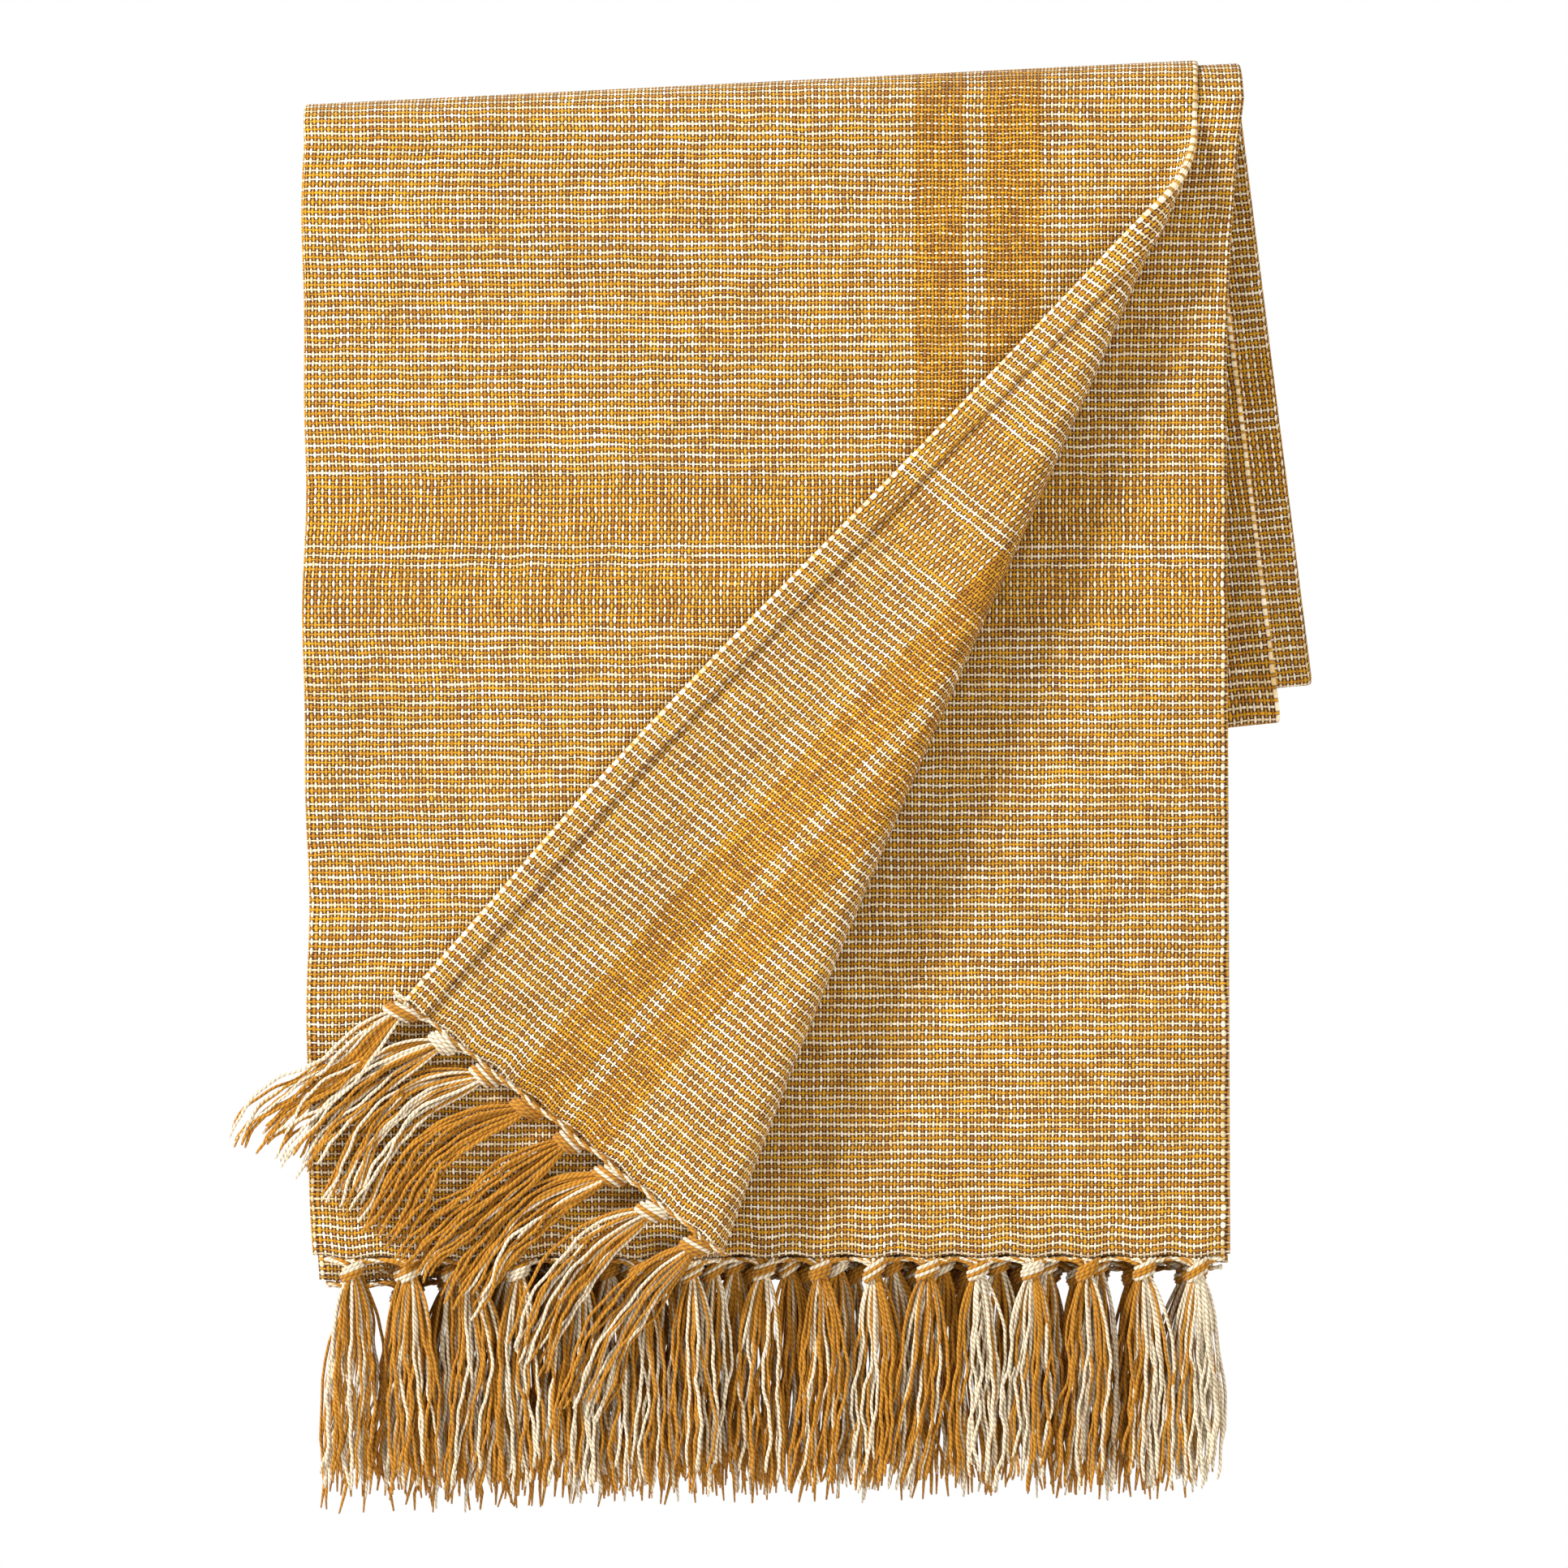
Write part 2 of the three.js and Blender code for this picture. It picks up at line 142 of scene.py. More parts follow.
@dataclass(frozen=True)
class Hang:
    """How the folded cloth hangs: sizes shared by every piece, read from the frame where it has them.

    Layers count outwards from the rail: 0 to 2 are the rear thirds, 3 the back third, 4 the middle
    one and 5 the front one.
    """

    left: float
    right: float
    drop: float
    slope: float
    fold_foot: np.ndarray
    fold_top_along: float
    fold_direction: np.ndarray
    corner: np.ndarray
    pitch: float
    front_pitch: float
    first_radius: float = 8.0 * MM
    layer_step: float = 2.4 * MM
    layer_spread: float = 5.2 * MM
    lean: float = 5.0 * MM
    layers: int = 6
    back_drop: float = 284 * MM
    front_third_sag: float = 14 * MM
    back_swing: float = 7 * MM
    rail_flare: float = 8.7 * MM
    flare_depth: float = 150 * MM
    back_hem_shift: float = 5.5 * MM
    front_hem_inset: float = 13.3 * MM
    back_hem_inset: float = 27 * MM
    wave: float = 3.4 * MM
    wave_ripples: tuple[Ripple, ...] = (Ripple(17.0, 4.0, 1.1, 0.6), Ripple(41.0, -7.0, 0.4, 0.4))
    scallop: float = 0.9 * MM
    scallop_rise: float = 0.3
    left_drift: float = 6.0 * MM
    drift_reach: float = 0.6
    drift_ripples: tuple[Ripple, ...] = (
        Ripple(0.0, 31.0, 0.0, 0.8 * MM),
        Ripple(0.0, 67.0, 1.0, 0.5 * MM),
    )
    rear_sag: float = 14.0 * MM
    rear_sag_lost_at_right: float = 0.6
    most_down: float = 1.1

    @classmethod
    def from_frame(cls) -> "Hang":
        """Reads the folds, the rail's slope and the turned corner's hinge from the frame.

        Returns:
            The hang of this throw.
        """
        joints = {joint["name"]: joint for joint in frame["joints"]}
        hinge = joints["flap_fold"]
        axis = np.array([hinge["axis"][0], hinge["axis"][2]])
        foot = np.array([hinge["pos_m"][0], hinge["pos_m"][2]])
        mount = frame["record"]["mounts"][0]["axis"]
        hem = np.array([vertex.co for vertex in frame["nodes"]["flap_hem"].data.vertices])
        tip = hem[np.argmin(hem[:, 0])]
        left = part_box("rear_front_fringe")[0].x
        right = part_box("rear_back_fringe")[1].x
        return cls(
            left=left,
            right=right,
            drop=-joints["middle_fringe_swing"]["pos_m"][2],
            slope=math.atan2(mount[2], mount[0]),
            fold_foot=foot,
            fold_top_along=float(np.linalg.norm(hem[np.argmax(hem[:, 2])][[0, 2]] - foot)),
            fold_direction=unit(axis),
            corner=np.array([tip[0], tip[2]]),
            pitch=(right - left) / len(nodes_named("middle_tassel")),
            front_pitch=(foot[0] - left) / len(nodes_named("front_tassel")),
        )

    @property
    def front_hem(self) -> float:
        """X of the front third's hem."""
        return self.right - self.front_hem_inset

    @property
    def back_hem(self) -> float:
        """X of the back third's hem."""
        return self.left + self.back_hem_inset

    def radius(self, layer: np.ndarray) -> np.ndarray:
        """Radius of a layer's middle surface over the rail; layer 0 is the innermost."""
        return self.first_radius + self.layer_step * layer

    def spacing(self, z: np.ndarray) -> np.ndarray:
        """Distance between two layers of the front drop at height z."""
        return self.layer_step + self.layer_spread * np.maximum(0.0, -z) / self.drop

    def dips(self, x: np.ndarray, layer: np.ndarray) -> np.ndarray:
        """How far each knot draws the fringed edge down: a cosine with the knots' pitch."""
        on_front = layer > self.layers - 1.5
        pitch = np.where(on_front, self.front_pitch, self.pitch)
        return self.scallop * (np.cos(2 * np.pi * (x - self.left) / pitch) - self.scallop_rise)

    def edge_height(self, x: np.ndarray, layer: np.ndarray) -> np.ndarray:
        """Height of the fringed edge: the three rear layers sag, most of all at the left.

        The sag comes in over the layers from 2.6 down to 1.4, so that a fold between a front
        third and a rear one goes from one height to the other.

        Args:
            x: places across the throw.
            layer: the layer at each place.

        Returns:
            The heights.
        """
        across = np.clip((x - self.left) / (self.right - self.left), 0, 1)
        behind = smooth((2.6 - layer) / 1.2)
        sag = self.rear_sag * behind * (1 - self.rear_sag_lost_at_right * across)
        return -self.drop - sag + self.dips(x, layer)

    def waves(self, x: np.ndarray, z: np.ndarray) -> np.ndarray:
        """Soft waves of the front drop, always backwards and nil over the rail.

        Two slow ripples are added, halved and lifted so that they stay above 0, and the whole
        grows to its full size over the first half of the drop.

        Args:
            x: places across the throw.
            z: heights.

        Returns:
            Distances backwards.
        """
        down = np.clip(-z / self.drop, 0, self.most_down)
        ripple = sum(one.at(x, z) for one in self.wave_ripples)
        return self.wave * smooth(down * 2.2) * (0.5 + 0.5 * ripple)

    def drift(self, x: np.ndarray, z: np.ndarray) -> np.ndarray:
        """The left fold leans in towards the fringe, and wanders a little as it goes down."""
        down = np.clip(-z / self.drop, 0, self.most_down)
        near_left = 1 - smooth((x - self.left) / (self.drift_reach * (self.right - self.left)))
        wander = sum(one.at(0.0, z) for one in self.drift_ripples)
        return near_left * (self.left_drift * down**2 + wander)

    def front_plane(self, layer: np.ndarray, z: np.ndarray) -> np.ndarray:
        """Depth of a layer of the front drop before its waves: layers hang apart towards the fringe."""
        share = np.maximum(0.0, -z) / self.drop
        return -self.radius(layer) + share * (
            (self.layers - 1 - layer) * self.layer_spread - self.lean
        )

    def front_point(self, x: np.ndarray, z: np.ndarray, layer: np.ndarray) -> np.ndarray:
        """A point of the front drop at x and z on a layer, with its drift and waves."""
        y = self.front_plane(layer, z) + self.waves(x, z)
        return np.stack(np.broadcast_arrays(x + self.drift(x, z), y, z), axis=-1)


# ---------------------------------------------------------------- mesh making
@dataclass
class MeshData:
    """Arrays of one mesh: points, corner indices, face starts, per-corner UV and point values."""

    points: np.ndarray
    corners: np.ndarray
    starts: np.ndarray
    uv: np.ndarray
    tint: np.ndarray
    flat_from: Optional[int] = None

    @staticmethod
    def joined(parts: Sequence["MeshData"]) -> "MeshData":
        """Joins several meshes into one.

        Args:
            parts: the meshes, each with its own numbering.

        Returns:
            One mesh that holds them all.
        """
        points = np.cumsum([0] + [len(part.points) for part in parts])
        corners = np.cumsum([0] + [len(part.corners) for part in parts])
        return MeshData(
            np.concatenate([part.points for part in parts]),
            np.concatenate([part.corners + n for part, n in zip(parts, points)]),
            np.concatenate([part.starts + n for part, n in zip(parts, corners)]),
            np.concatenate([part.uv for part in parts]),
            np.concatenate([part.tint for part in parts]),
        )

    def to_object(self, name: str, finish: bpy.types.Material) -> bpy.types.Object:
        """Makes the Blender object.

        Args:
            name: the piece's name.
            finish: its material.

        Returns:
            The object, at the origin.
        """
        mesh = bpy.data.meshes.new(name)
        mesh.vertices.add(len(self.points))
        mesh.vertices.foreach_set("co", self.points.astype(np.float32).ravel())
        mesh.loops.add(len(self.corners))
        mesh.loops.foreach_set("vertex_index", self.corners.astype(np.int32))
        mesh.polygons.add(len(self.starts))
        mesh.polygons.foreach_set("loop_start", self.starts.astype(np.int32))
        is_smooth = np.ones(len(self.starts), dtype=bool)
        if self.flat_from is not None:
            is_smooth[self.flat_from :] = False
        mesh.update(calc_edges=True)
        mesh.polygons.foreach_set("use_smooth", is_smooth)
        layer = mesh.uv_layers.new(name="yarn_lengths")
        layer.data.foreach_set("uv", self.uv.astype(np.float32).ravel())
        tint = mesh.attributes.new("tint", "FLOAT", "POINT")
        tint.data.foreach_set("value", self.tint.astype(np.float32))
        mesh.materials.append(finish)
        mesh.update()
        made = bpy.data.objects.new(name, mesh)
        bpy.context.scene.collection.objects.link(made)
        return made


def grid_corners(rows: int, columns: int, first: int) -> np.ndarray:
    """Corner indices of the quads of a grid of points.

    Args:
        rows: number of rows of points.
        columns: number of points in a row.
        first: index of the grid's first point.

    Returns:
        An array of one row of four indices per quad.
    """
    row, column = np.meshgrid(np.arange(rows - 1), np.arange(columns - 1), indexing="ij")
    a = (first + row * columns + column).ravel()
    return np.stack([a, a + 1, a + columns + 1, a + columns], axis=1)


def grid_normals(points: np.ndarray) -> np.ndarray:
    """Unit normals of a grid: the cross product of its steps along a row and down a column."""
    across = np.gradient(points, axis=1)
    down = np.gradient(points, axis=0)
    return unit(np.cross(across, down))


def thick_sheet(points: np.ndarray, uv: np.ndarray, thickness: float) -> MeshData:
    """Gives a grid of points its thickness and closes its edges.

    Each point is moved half the thickness along the grid's normal for one face and the other
    way for the other face, and the border of the two faces is joined by a strip of quads,
    which shows the middle of the outermost end.

    Args:
        points: rows x columns x 3 points of the middle surface.
        uv: rows x columns x 2 lengths along the yarns.
        thickness: the cloth's thickness.

    Returns:
        A closed mesh whose faces point outwards.
    """
    rows, columns = points.shape[:2]
    normals = grid_normals(points)
    count = rows * columns
    both = np.concatenate([points + normals * thickness / 2, points - normals * thickness / 2])
    index = np.arange(count).reshape(rows, columns)
    rim = np.concatenate([index[0, :], index[1:, -1], index[-1, -2::-1], index[-2:0:-1, 0]])
    following = np.roll(rim, -1)
    front = grid_corners(rows, columns, 0)
    back = grid_corners(rows, columns, count)[:, ::-1]
    sides = np.stack([following, rim, rim + count, following + count], axis=1)
    quads = np.concatenate([front, back, sides])
    per_point = np.concatenate([uv.reshape(count, 2)] * 2)
    per_corner = per_point[quads.ravel()]
    pitch = WovenCotton.end_pitch
    rim_corners = per_corner[-sides.size :]
    rim_corners[:, 0] = (np.floor(rim_corners[:, 0] / pitch) + 0.5) * pitch
    return MeshData(
        both.reshape(-1, 3),
        quads.ravel(),
        np.arange(len(quads)) * 4,
        per_corner,
        np.zeros(count * 2),
        flat_from=len(front) + len(back),
    )


def tubes(
    paths: np.ndarray, radii: np.ndarray, sides: int, across: np.ndarray, tint: np.ndarray
) -> MeshData:
    """Carries a round section along many paths at once.

    At each station the ring lies across the path: its two axes are the given direction made
    square to the path, and the cross product of both. A point is the path's point plus the
    radius times cosine and sine of the turn along these axes.

    Args:
        paths: tubes x stations x 3 points.
        radii: tubes x stations radii.
        sides: sides of the section.
        across: a direction never along the path, one for all or one for each tube.
        tint: one value for each tube, from 0 for cream to 1 for mustard.

    Returns:
        Closed tubes with UV: turns round the yarn, and metres along it.
    """
    count, stations = paths.shape[:2]
    tangent = unit(np.gradient(paths, axis=1))
    given = np.broadcast_to(across if across.ndim > 1 else across[None], (count, 3))[:, None]
    first = unit(given - tangent * np.sum(given * tangent, axis=-1, keepdims=True))
    second = np.cross(tangent, first)
    turn = 2 * np.pi * np.arange(sides) / sides
    ring = (
        np.cos(turn)[None, None, :, None] * first[:, :, None]
        + np.sin(turn)[None, None, :, None] * second[:, :, None]
    )
    points = paths[:, :, None] + ring * radii[:, :, None, None]
    tube, station, side = np.meshgrid(
        np.arange(count), np.arange(stations - 1), np.arange(sides), indexing="ij"
    )
    onward = (side + 1) % sides
    base = tube * stations * sides
    low, high = base + station * sides, base + (station + 1) * sides
    quads = np.stack([low + side, low + onward, high + onward, high + side], axis=-1)
    steps = np.linalg.norm(np.diff(paths, axis=1), axis=-1)
    length = np.concatenate([np.zeros((count, 1)), np.cumsum(steps, axis=1)], axis=1)
    near, far = length[tube, station], length[tube, station + 1]
    u0, u1 = side / sides, (side + 1) / sides
    around = [(u0, near), (u1, near), (u1, far), (u0, far)]
    uv = np.stack([np.stack(pair, axis=-1) for pair in around], axis=-2)
    starts_of = np.arange(count) * stations * sides
    cap_first = (starts_of[:, None] + np.arange(sides)[::-1]).ravel()
    cap_last = (starts_of[:, None] + (stations - 1) * sides + np.arange(sides)).ravel()
    quad_corners = quads.reshape(-1)
    caps = np.concatenate([cap_first, cap_last])
    cap_starts = len(quad_corners) + np.arange(count * 2) * sides
    return MeshData(
        points.reshape(-1, 3),
        np.concatenate([quad_corners, caps]),
        np.concatenate([np.arange(len(quad_corners) // 4) * 4, cap_starts]),
        np.concatenate([uv.reshape(-1, 2), np.zeros((len(caps), 2))]),
        np.repeat(tint, stations * sides),
    )


# ---------------------------------------------------------------- finishes
class Graph:
    """A material's node tree, filled one node at a time."""

    def __init__(self, name: str) -> None:
        """Makes an empty material with its output node."""
        self.material = bpy.data.materials.new(name)
        self.material.use_nodes = True
        self.tree = self.material.node_tree
        self.tree.nodes.clear()
        self.output = self.tree.nodes.new("ShaderNodeOutputMaterial")

    def add(self, kind: str, inputs: dict[Any, Any], out: Any = 0, **settings: Any) -> Any:
        """Adds a node with its settings and links.

        Args:
            kind: the node's type without its ShaderNode prefix.
            inputs: input name or number to a value or to another node's output.
            out: name or number of the output to give back.
            settings: the node's own settings.

        Returns:
            The chosen output socket.
        """
        node = self.tree.nodes.new("ShaderNode" + kind)
        for name, value in settings.items():
            setattr(node, name, value)
        for key, value in inputs.items():
            if isinstance(value, bpy.types.NodeSocket):
                self.tree.links.new(value, node.inputs[key])
            else:
                node.inputs[key].default_value = value
        return node.outputs[out]

    def close(self, shader: Any) -> bpy.types.Material:
        """Links the surface shader to the output and gives the material back."""
        self.tree.links.new(shader, self.output.inputs["Surface"])
        return self.material


@dataclass(frozen=True)
class Band:
    """A stretch of all-mustard yarns: its middle and half width from an edge of the cloth."""

    middle: float
    half: float


@dataclass(frozen=True)
class WovenCotton:
    """Slub plain weave of cream and mustard cotton: alternate ends and alternate picks.

    Matt and soft: the light catches the yarn crowns, and the pin-holes between them get a painted brown shade.
    """

    name: str = "woven_slub_cotton"
    cream: str = "#fff3d9"
    cream_low: str = "#e2c48c"
    mustard: str = "#e1a41a"
    mustard_low: str = "#ab7010"
    # painted shade: the deep brown given to the pin-holes between the yarn crowns
    pit_shade: str = "#4a2403"
    end_pitch: float = 1.65 * MM
    pick_pitch: float = 2.15 * MM
    end_half: float = 0.41
    end_reach: float = 0.84
    pick_half: float = 0.25
    pick_reach: float = 0.78
    end_slub: float = 0.34
    pick_slub: float = 0.52
    wander_scale: float = 70.0
    wander: tuple[float, float, float] = (1.3 * MM, 1.9 * MM, 0.0)
    slub_run: float = 90.0
    bare_below: float = 0.58
    crossing_sharpness: float = 5.0
    cloud_scale: float = 14.0
    cloud_low: float = 0.93
    cloud_high: float = 1.05
    fuzz_scale: float = 2600.0
    fuzz: float = 0.35
    roughness: float = 0.92
    relief: float = 0.45 * MM
    brightness: float = 1.0
    width: float = 1.2542
    length: float = 1.729
    end_bands: tuple[Band, ...] = (Band(84.5 * MM, 12.4 * MM), Band(119.7 * MM, 11.5 * MM))
    pick_bands: tuple[Band, ...] = (
        Band(309.2 * MM, 13.2 * MM),
        Band(348.6 * MM, 14.2 * MM),
        Band(712 * MM, 14 * MM),
        Band(751 * MM, 14 * MM),
    )

    def build(self) -> bpy.types.Material:
        """Builds the weave from the lengths along the ends and picks.

        The UV holds metres across and along the cloth. Each is divided by the yarn pitch, and
        its whole part numbers the yarn while the rest places the point in the cell. An end is
        on top where the two numbers add up to an even one. Each crown is an ellipse that
        reaches into the next cells, and the higher of the two crowns shows.

        Returns:
            The material.
        """
        g = Graph(self.name)
        uv = g.add("UVMap", {}, uv_map="yarn_lengths")
        wander = g.add("TexNoise", {"Vector": uv, "Scale": self.wander_scale, "Detail": 1.0}, "Color")
        shift = g.add("VectorMath", {0: wander, 1: (0.5, 0.5, 0.5)}, operation="SUBTRACT")
        moved = g.add("VectorMath", {0: shift, 1: self.wander, 2: uv}, operation="MULTIPLY_ADD")
        pitches = (self.end_pitch, self.pick_pitch, 1.0)
        cells = g.add("VectorMath", {0: moved, 1: pitches}, operation="DIVIDE")
        number = g.add("VectorMath", {0: cells}, operation="FLOOR")
        inside = g.add("VectorMath", {0: cells}, operation="FRACTION")
        centred = g.add("VectorMath", {0: inside, 1: (0.5, 0.5, 0.0)}, operation="SUBTRACT")
        apart = g.add("VectorMath", {0: centred}, operation="ABSOLUTE")
        end = g.add("SeparateXYZ", {0: number}, "X")
        pick = g.add("SeparateXYZ", {0: number}, "Y")
        fu = g.add("SeparateXYZ", {0: apart}, "X")
        fv = g.add("SeparateXYZ", {0: apart}, "Y")
        both = g.add("Math", {0: end, 1: pick}, operation="ADD")
        odd_cell = g.add("Math", {0: both, 1: 2.0}, operation="FLOORED_MODULO")
        end_up = g.add("Math", {0: 1.0, 1: odd_cell}, operation="SUBTRACT")

        end_noise, end_tone = self._yarn_noise(g, uv, end, along_ends=True)
        pick_noise, pick_tone = self._yarn_noise(g, uv, pick, along_ends=False)

        far_v = g.add("Math", {0: fv, 1: -2.0, 2: 1.0}, operation="MULTIPLY_ADD")
        reach_v = g.add("Math", {0: far_v, 1: odd_cell, 2: fv}, operation="MULTIPLY_ADD")
        far_u = g.add("Math", {0: fu, 1: -2.0, 2: 1.0}, operation="MULTIPLY_ADD")
        reach_u = g.add("Math", {0: far_u, 1: end_up, 2: fu}, operation="MULTIPLY_ADD")
        least_end, least_pick = self.end_half - self.end_slub / 2, self.pick_half - self.pick_slub / 2
        end_half = g.add("Math", {0: end_noise, 1: self.end_slub, 2: least_end}, operation="MULTIPLY_ADD")
        pick_half = g.add(
            "Math", {0: pick_noise, 1: self.pick_slub, 2: least_pick}, operation="MULTIPLY_ADD"
        )
        end_crown = self._crown(g, fu, end_half, reach_v, self.end_reach)
        pick_crown = self._crown(g, fv, pick_half, reach_u, self.pick_reach)

        end_colour = self._yarn_colour(g, end, end_tone, self.end_pitch, self.width, self.end_bands)
        pick_colour = self._yarn_colour(
            g, pick, pick_tone, self.pick_pitch, self.length, self.pick_bands
        )
        lead = g.add("Math", {0: pick_crown, 1: end_crown}, operation="SUBTRACT")
        on_top = g.add(
            "Math", {0: lead, 1: self.crossing_sharpness, 2: 0.5}, operation="MULTIPLY_ADD", use_clamp=True
        )
        yarn = g.add("Mix", {"Factor": on_top, "A": end_colour, "B": pick_colour}, 2, data_type="RGBA")
        top = g.add("Math", {0: pick_crown, 1: end_crown}, operation="MAXIMUM")
        height = g.add("Math", {0: top, 1: 0.0}, operation="MAXIMUM")
        rounded = g.add("Math", {0: height, 1: 0.5}, operation="POWER")
        # painted shade: where both crowns are low, the colour fades to the pin-hole shade
        covered = g.add("MapRange", {"Value": height, "From Min": 0.0, "From Max": self.bare_below})
        pit_shade = linear(self.pit_shade)
        colour = g.add("Mix", {"Factor": covered, "A": pit_shade, "B": yarn}, 2, data_type="RGBA")
        cloudy = g.add("TexNoise", {"Vector": uv, "Scale": self.cloud_scale, "Detail": 2.0})
        value = g.add(
            "MapRange",
            {"Value": cloudy, "From Min": 0.3, "From Max": 0.7,
             "To Min": self.cloud_low * self.brightness, "To Max": self.cloud_high * self.brightness},
        )
        toned = g.add("HueSaturation", {"Value": value, "Color": colour})
        fuzz = g.add("TexNoise", {"Vector": uv, "Scale": self.fuzz_scale, "Detail": 2.0})
        lifted = g.add("Math", {0: fuzz, 1: self.fuzz, 2: rounded}, operation="MULTIPLY_ADD")
        bump = g.add("Bump", {"Height": lifted, "Distance": self.relief, "Strength": 1.0})
        shader = g.add(
            "BsdfPrincipled",
            {"Base Color": toned, "Roughness": self.roughness, "Normal": bump,
             "Specular IOR Level": 0.25, "Sheen Weight": 0.12, "Sheen Roughness": 0.6},
        )
        return g.close(shader)

    def _yarn_noise(self, g: Graph, uv: Any, yarn: Any, along_ends: bool) -> tuple[Any, Any]:
        """Noise drawn out along one yarn: its thickness, and its tone.

        Args:
            g: the graph.
            uv: lengths along the cloth.
            yarn: the yarn's number, which sets it apart from its neighbours.
            along_ends: whether the yarn is an end (it runs along V) or a pick.

        Returns:
            The thickness noise and the tone noise, each about 0 to 1.
        """
        along = g.add("SeparateXYZ", {0: uv}, "Y" if along_ends else "X")
        apart = g.add("Math", {0: yarn, 1: 7.31}, operation="MULTIPLY")
        run = g.add("Math", {0: along, 1: self.slub_run}, operation="MULTIPLY")
        place = g.add("CombineXYZ", {0: run, 1: apart, 2: 3.0 if along_ends else 9.0})
        slub = g.add("TexNoise", {"Vector": place, "Scale": 1.0, "Detail": 1.5})
        slower = g.add("VectorMath", {0: place, 1: (0.45, 1.0, 1.0)}, operation="MULTIPLY")
        tone = g.add("TexNoise", {"Vector": slower, "Scale": 1.7, "Detail": 2.0})
        return slub, tone

    def _crown(self, g: Graph, aside: Any, half: Any, along: Any, reach: float) -> Any:
        """Height of a yarn's crown: one less the squares of both distances over its half sizes."""
        a = g.add("Math", {0: aside, 1: half}, operation="DIVIDE")
        a2 = g.add("Math", {0: a, 1: a}, operation="MULTIPLY")
        b = g.add("Math", {0: along, 1: reach}, operation="DIVIDE")
        b2 = g.add("Math", {0: b, 1: b}, operation="MULTIPLY")
        total = g.add("Math", {0: a2, 1: b2}, operation="ADD")
        return g.add("Math", {0: 1.0, 1: total}, operation="SUBTRACT")

    def _yarn_colour(
        self, g: Graph, yarn: Any, tone: Any, pitch: float, size: float, bands: Sequence[Band]
    ) -> Any:
        """Colour of a yarn by its number: every other one is cream, but none in a band.

        Args:
            g: the graph.
            yarn: the yarn's number.
            tone: noise along the yarn.
            pitch: distance between two yarns.
            size: the cloth's size across the yarns, because the bands repeat from its far edge.
            bands: the all-mustard bands.

        Returns:
            The colour socket.
        """
        odd = g.add("Math", {0: yarn, 1: 2.0}, operation="FLOORED_MODULO")
        place = g.add("Math", {0: yarn, 1: pitch, 2: pitch / 2}, operation="MULTIPLY_ADD")
        mirrored = g.add("Math", {0: size, 1: place}, operation="SUBTRACT")
        nearest = g.add("Math", {0: place, 1: mirrored}, operation="MINIMUM")
        dyed = odd
        for band in bands:
            inside = g.add("Math", {0: nearest, 1: band.middle, 2: band.half}, operation="COMPARE")
            dyed = g.add("Math", {0: dyed, 1: inside}, operation="MAXIMUM")
        spread = g.add("MapRange", {"Value": tone, "From Min": 0.36, "From Max": 0.64})
        dyes = ((self.cream_low, self.cream), (self.mustard_low, self.mustard))
        cream, mustard = (
            g.add("Mix", {"Factor": spread, "A": linear(low), "B": linear(high)}, 2, data_type="RGBA")
            for low, high in dyes
        )
        return g.add("Mix", {"Factor": dyed, "A": cream, "B": mustard}, 2, data_type="RGBA")


@dataclass(frozen=True)
class FringeYarn:
    """Two-ply cotton yarn, loosely twisted: matt, with painted shade along the slanting ply groove and a little
    fuzz.
    """

    name: str = "two_ply_cotton_yarn"
    # cream and mustard are darker than the cloth's: partly the yarn's own dye and partly painted shade of the
    # dense fringe
    cream: str = "#ecdfc2"
    mustard: str = "#bd8114"
    # shade and ply_shade: the painted shade colour of the groove between the plies, and how far it darkens the dye
    shade: str = "#6c3f0c"
    twist_length: float = 5.2 * MM
    ply_shade: float = 0.55
    mottle_scale: float = 130.0
    mottle_low: float = 0.86
    mottle_high: float = 1.08
    relief: float = 0.25 * MM
    roughness: float = 0.9

    def build(self) -> bpy.types.Material:
        """Builds the yarn: its tint picks the dye, and the painted shade of the ply groove turns as it runs along.

        Returns:
            The material.
        """
        g = Graph(self.name)
        uv = g.add("UVMap", {}, uv_map="yarn_lengths")
        tint = g.add("Attribute", {}, "Fac", attribute_name="tint")
        dyed = g.add("Math", {0: tint, 1: 1.0}, operation="MINIMUM")
        round_yarn = g.add("SeparateXYZ", {0: uv}, "X")
        along = g.add("SeparateXYZ", {0: uv}, "Y")
        turns = g.add("Math", {0: along, 1: 1 / self.twist_length, 2: round_yarn}, operation="MULTIPLY_ADD")
        twice = g.add("Math", {0: turns, 1: 4 * math.pi}, operation="MULTIPLY")
        wave = g.add("Math", {0: twice}, operation="SINE")
        ply = g.add("MapRange", {"Value": wave, "From Min": -1.0, "From Max": 0.2})
        coords = g.add("TexCoord", {}, "Object")
        mottle = g.add("TexNoise", {"Vector": coords, "Scale": self.mottle_scale, "Detail": 3.0})
        tone = g.add(
            "MapRange",
            {"Value": mottle, "From Min": 0.3, "From Max": 0.7,
             "To Min": self.mottle_low, "To Max": self.mottle_high},
        )
        dye = g.add(
            "Mix", {"Factor": dyed, "A": linear(self.cream), "B": linear(self.mustard)}, 2, data_type="RGBA"
        )
        # painted shade: the dye darkened towards the shade colour in the ply groove, where the ply wave is low
        deep = g.add(
            "Mix", {"Factor": self.ply_shade, "A": dye, "B": linear(self.shade)}, 2,
            data_type="RGBA", blend_type="MULTIPLY",
        )
        plied = g.add("Mix", {"Factor": ply, "A": deep, "B": dye}, 2, data_type="RGBA")
        toned = g.add("HueSaturation", {"Value": tone, "Color": plied})
        bump = g.add("Bump", {"Height": ply, "Distance": self.relief, "Strength": 0.7})
        shader = g.add(
            "BsdfPrincipled",
            {"Base Color": toned, "Roughness": self.roughness, "Normal": bump,
             "Specular IOR Level": 0.25, "Sheen Weight": 0.15, "Sheen Roughness": 0.6},
        )
        return g.close(shader)


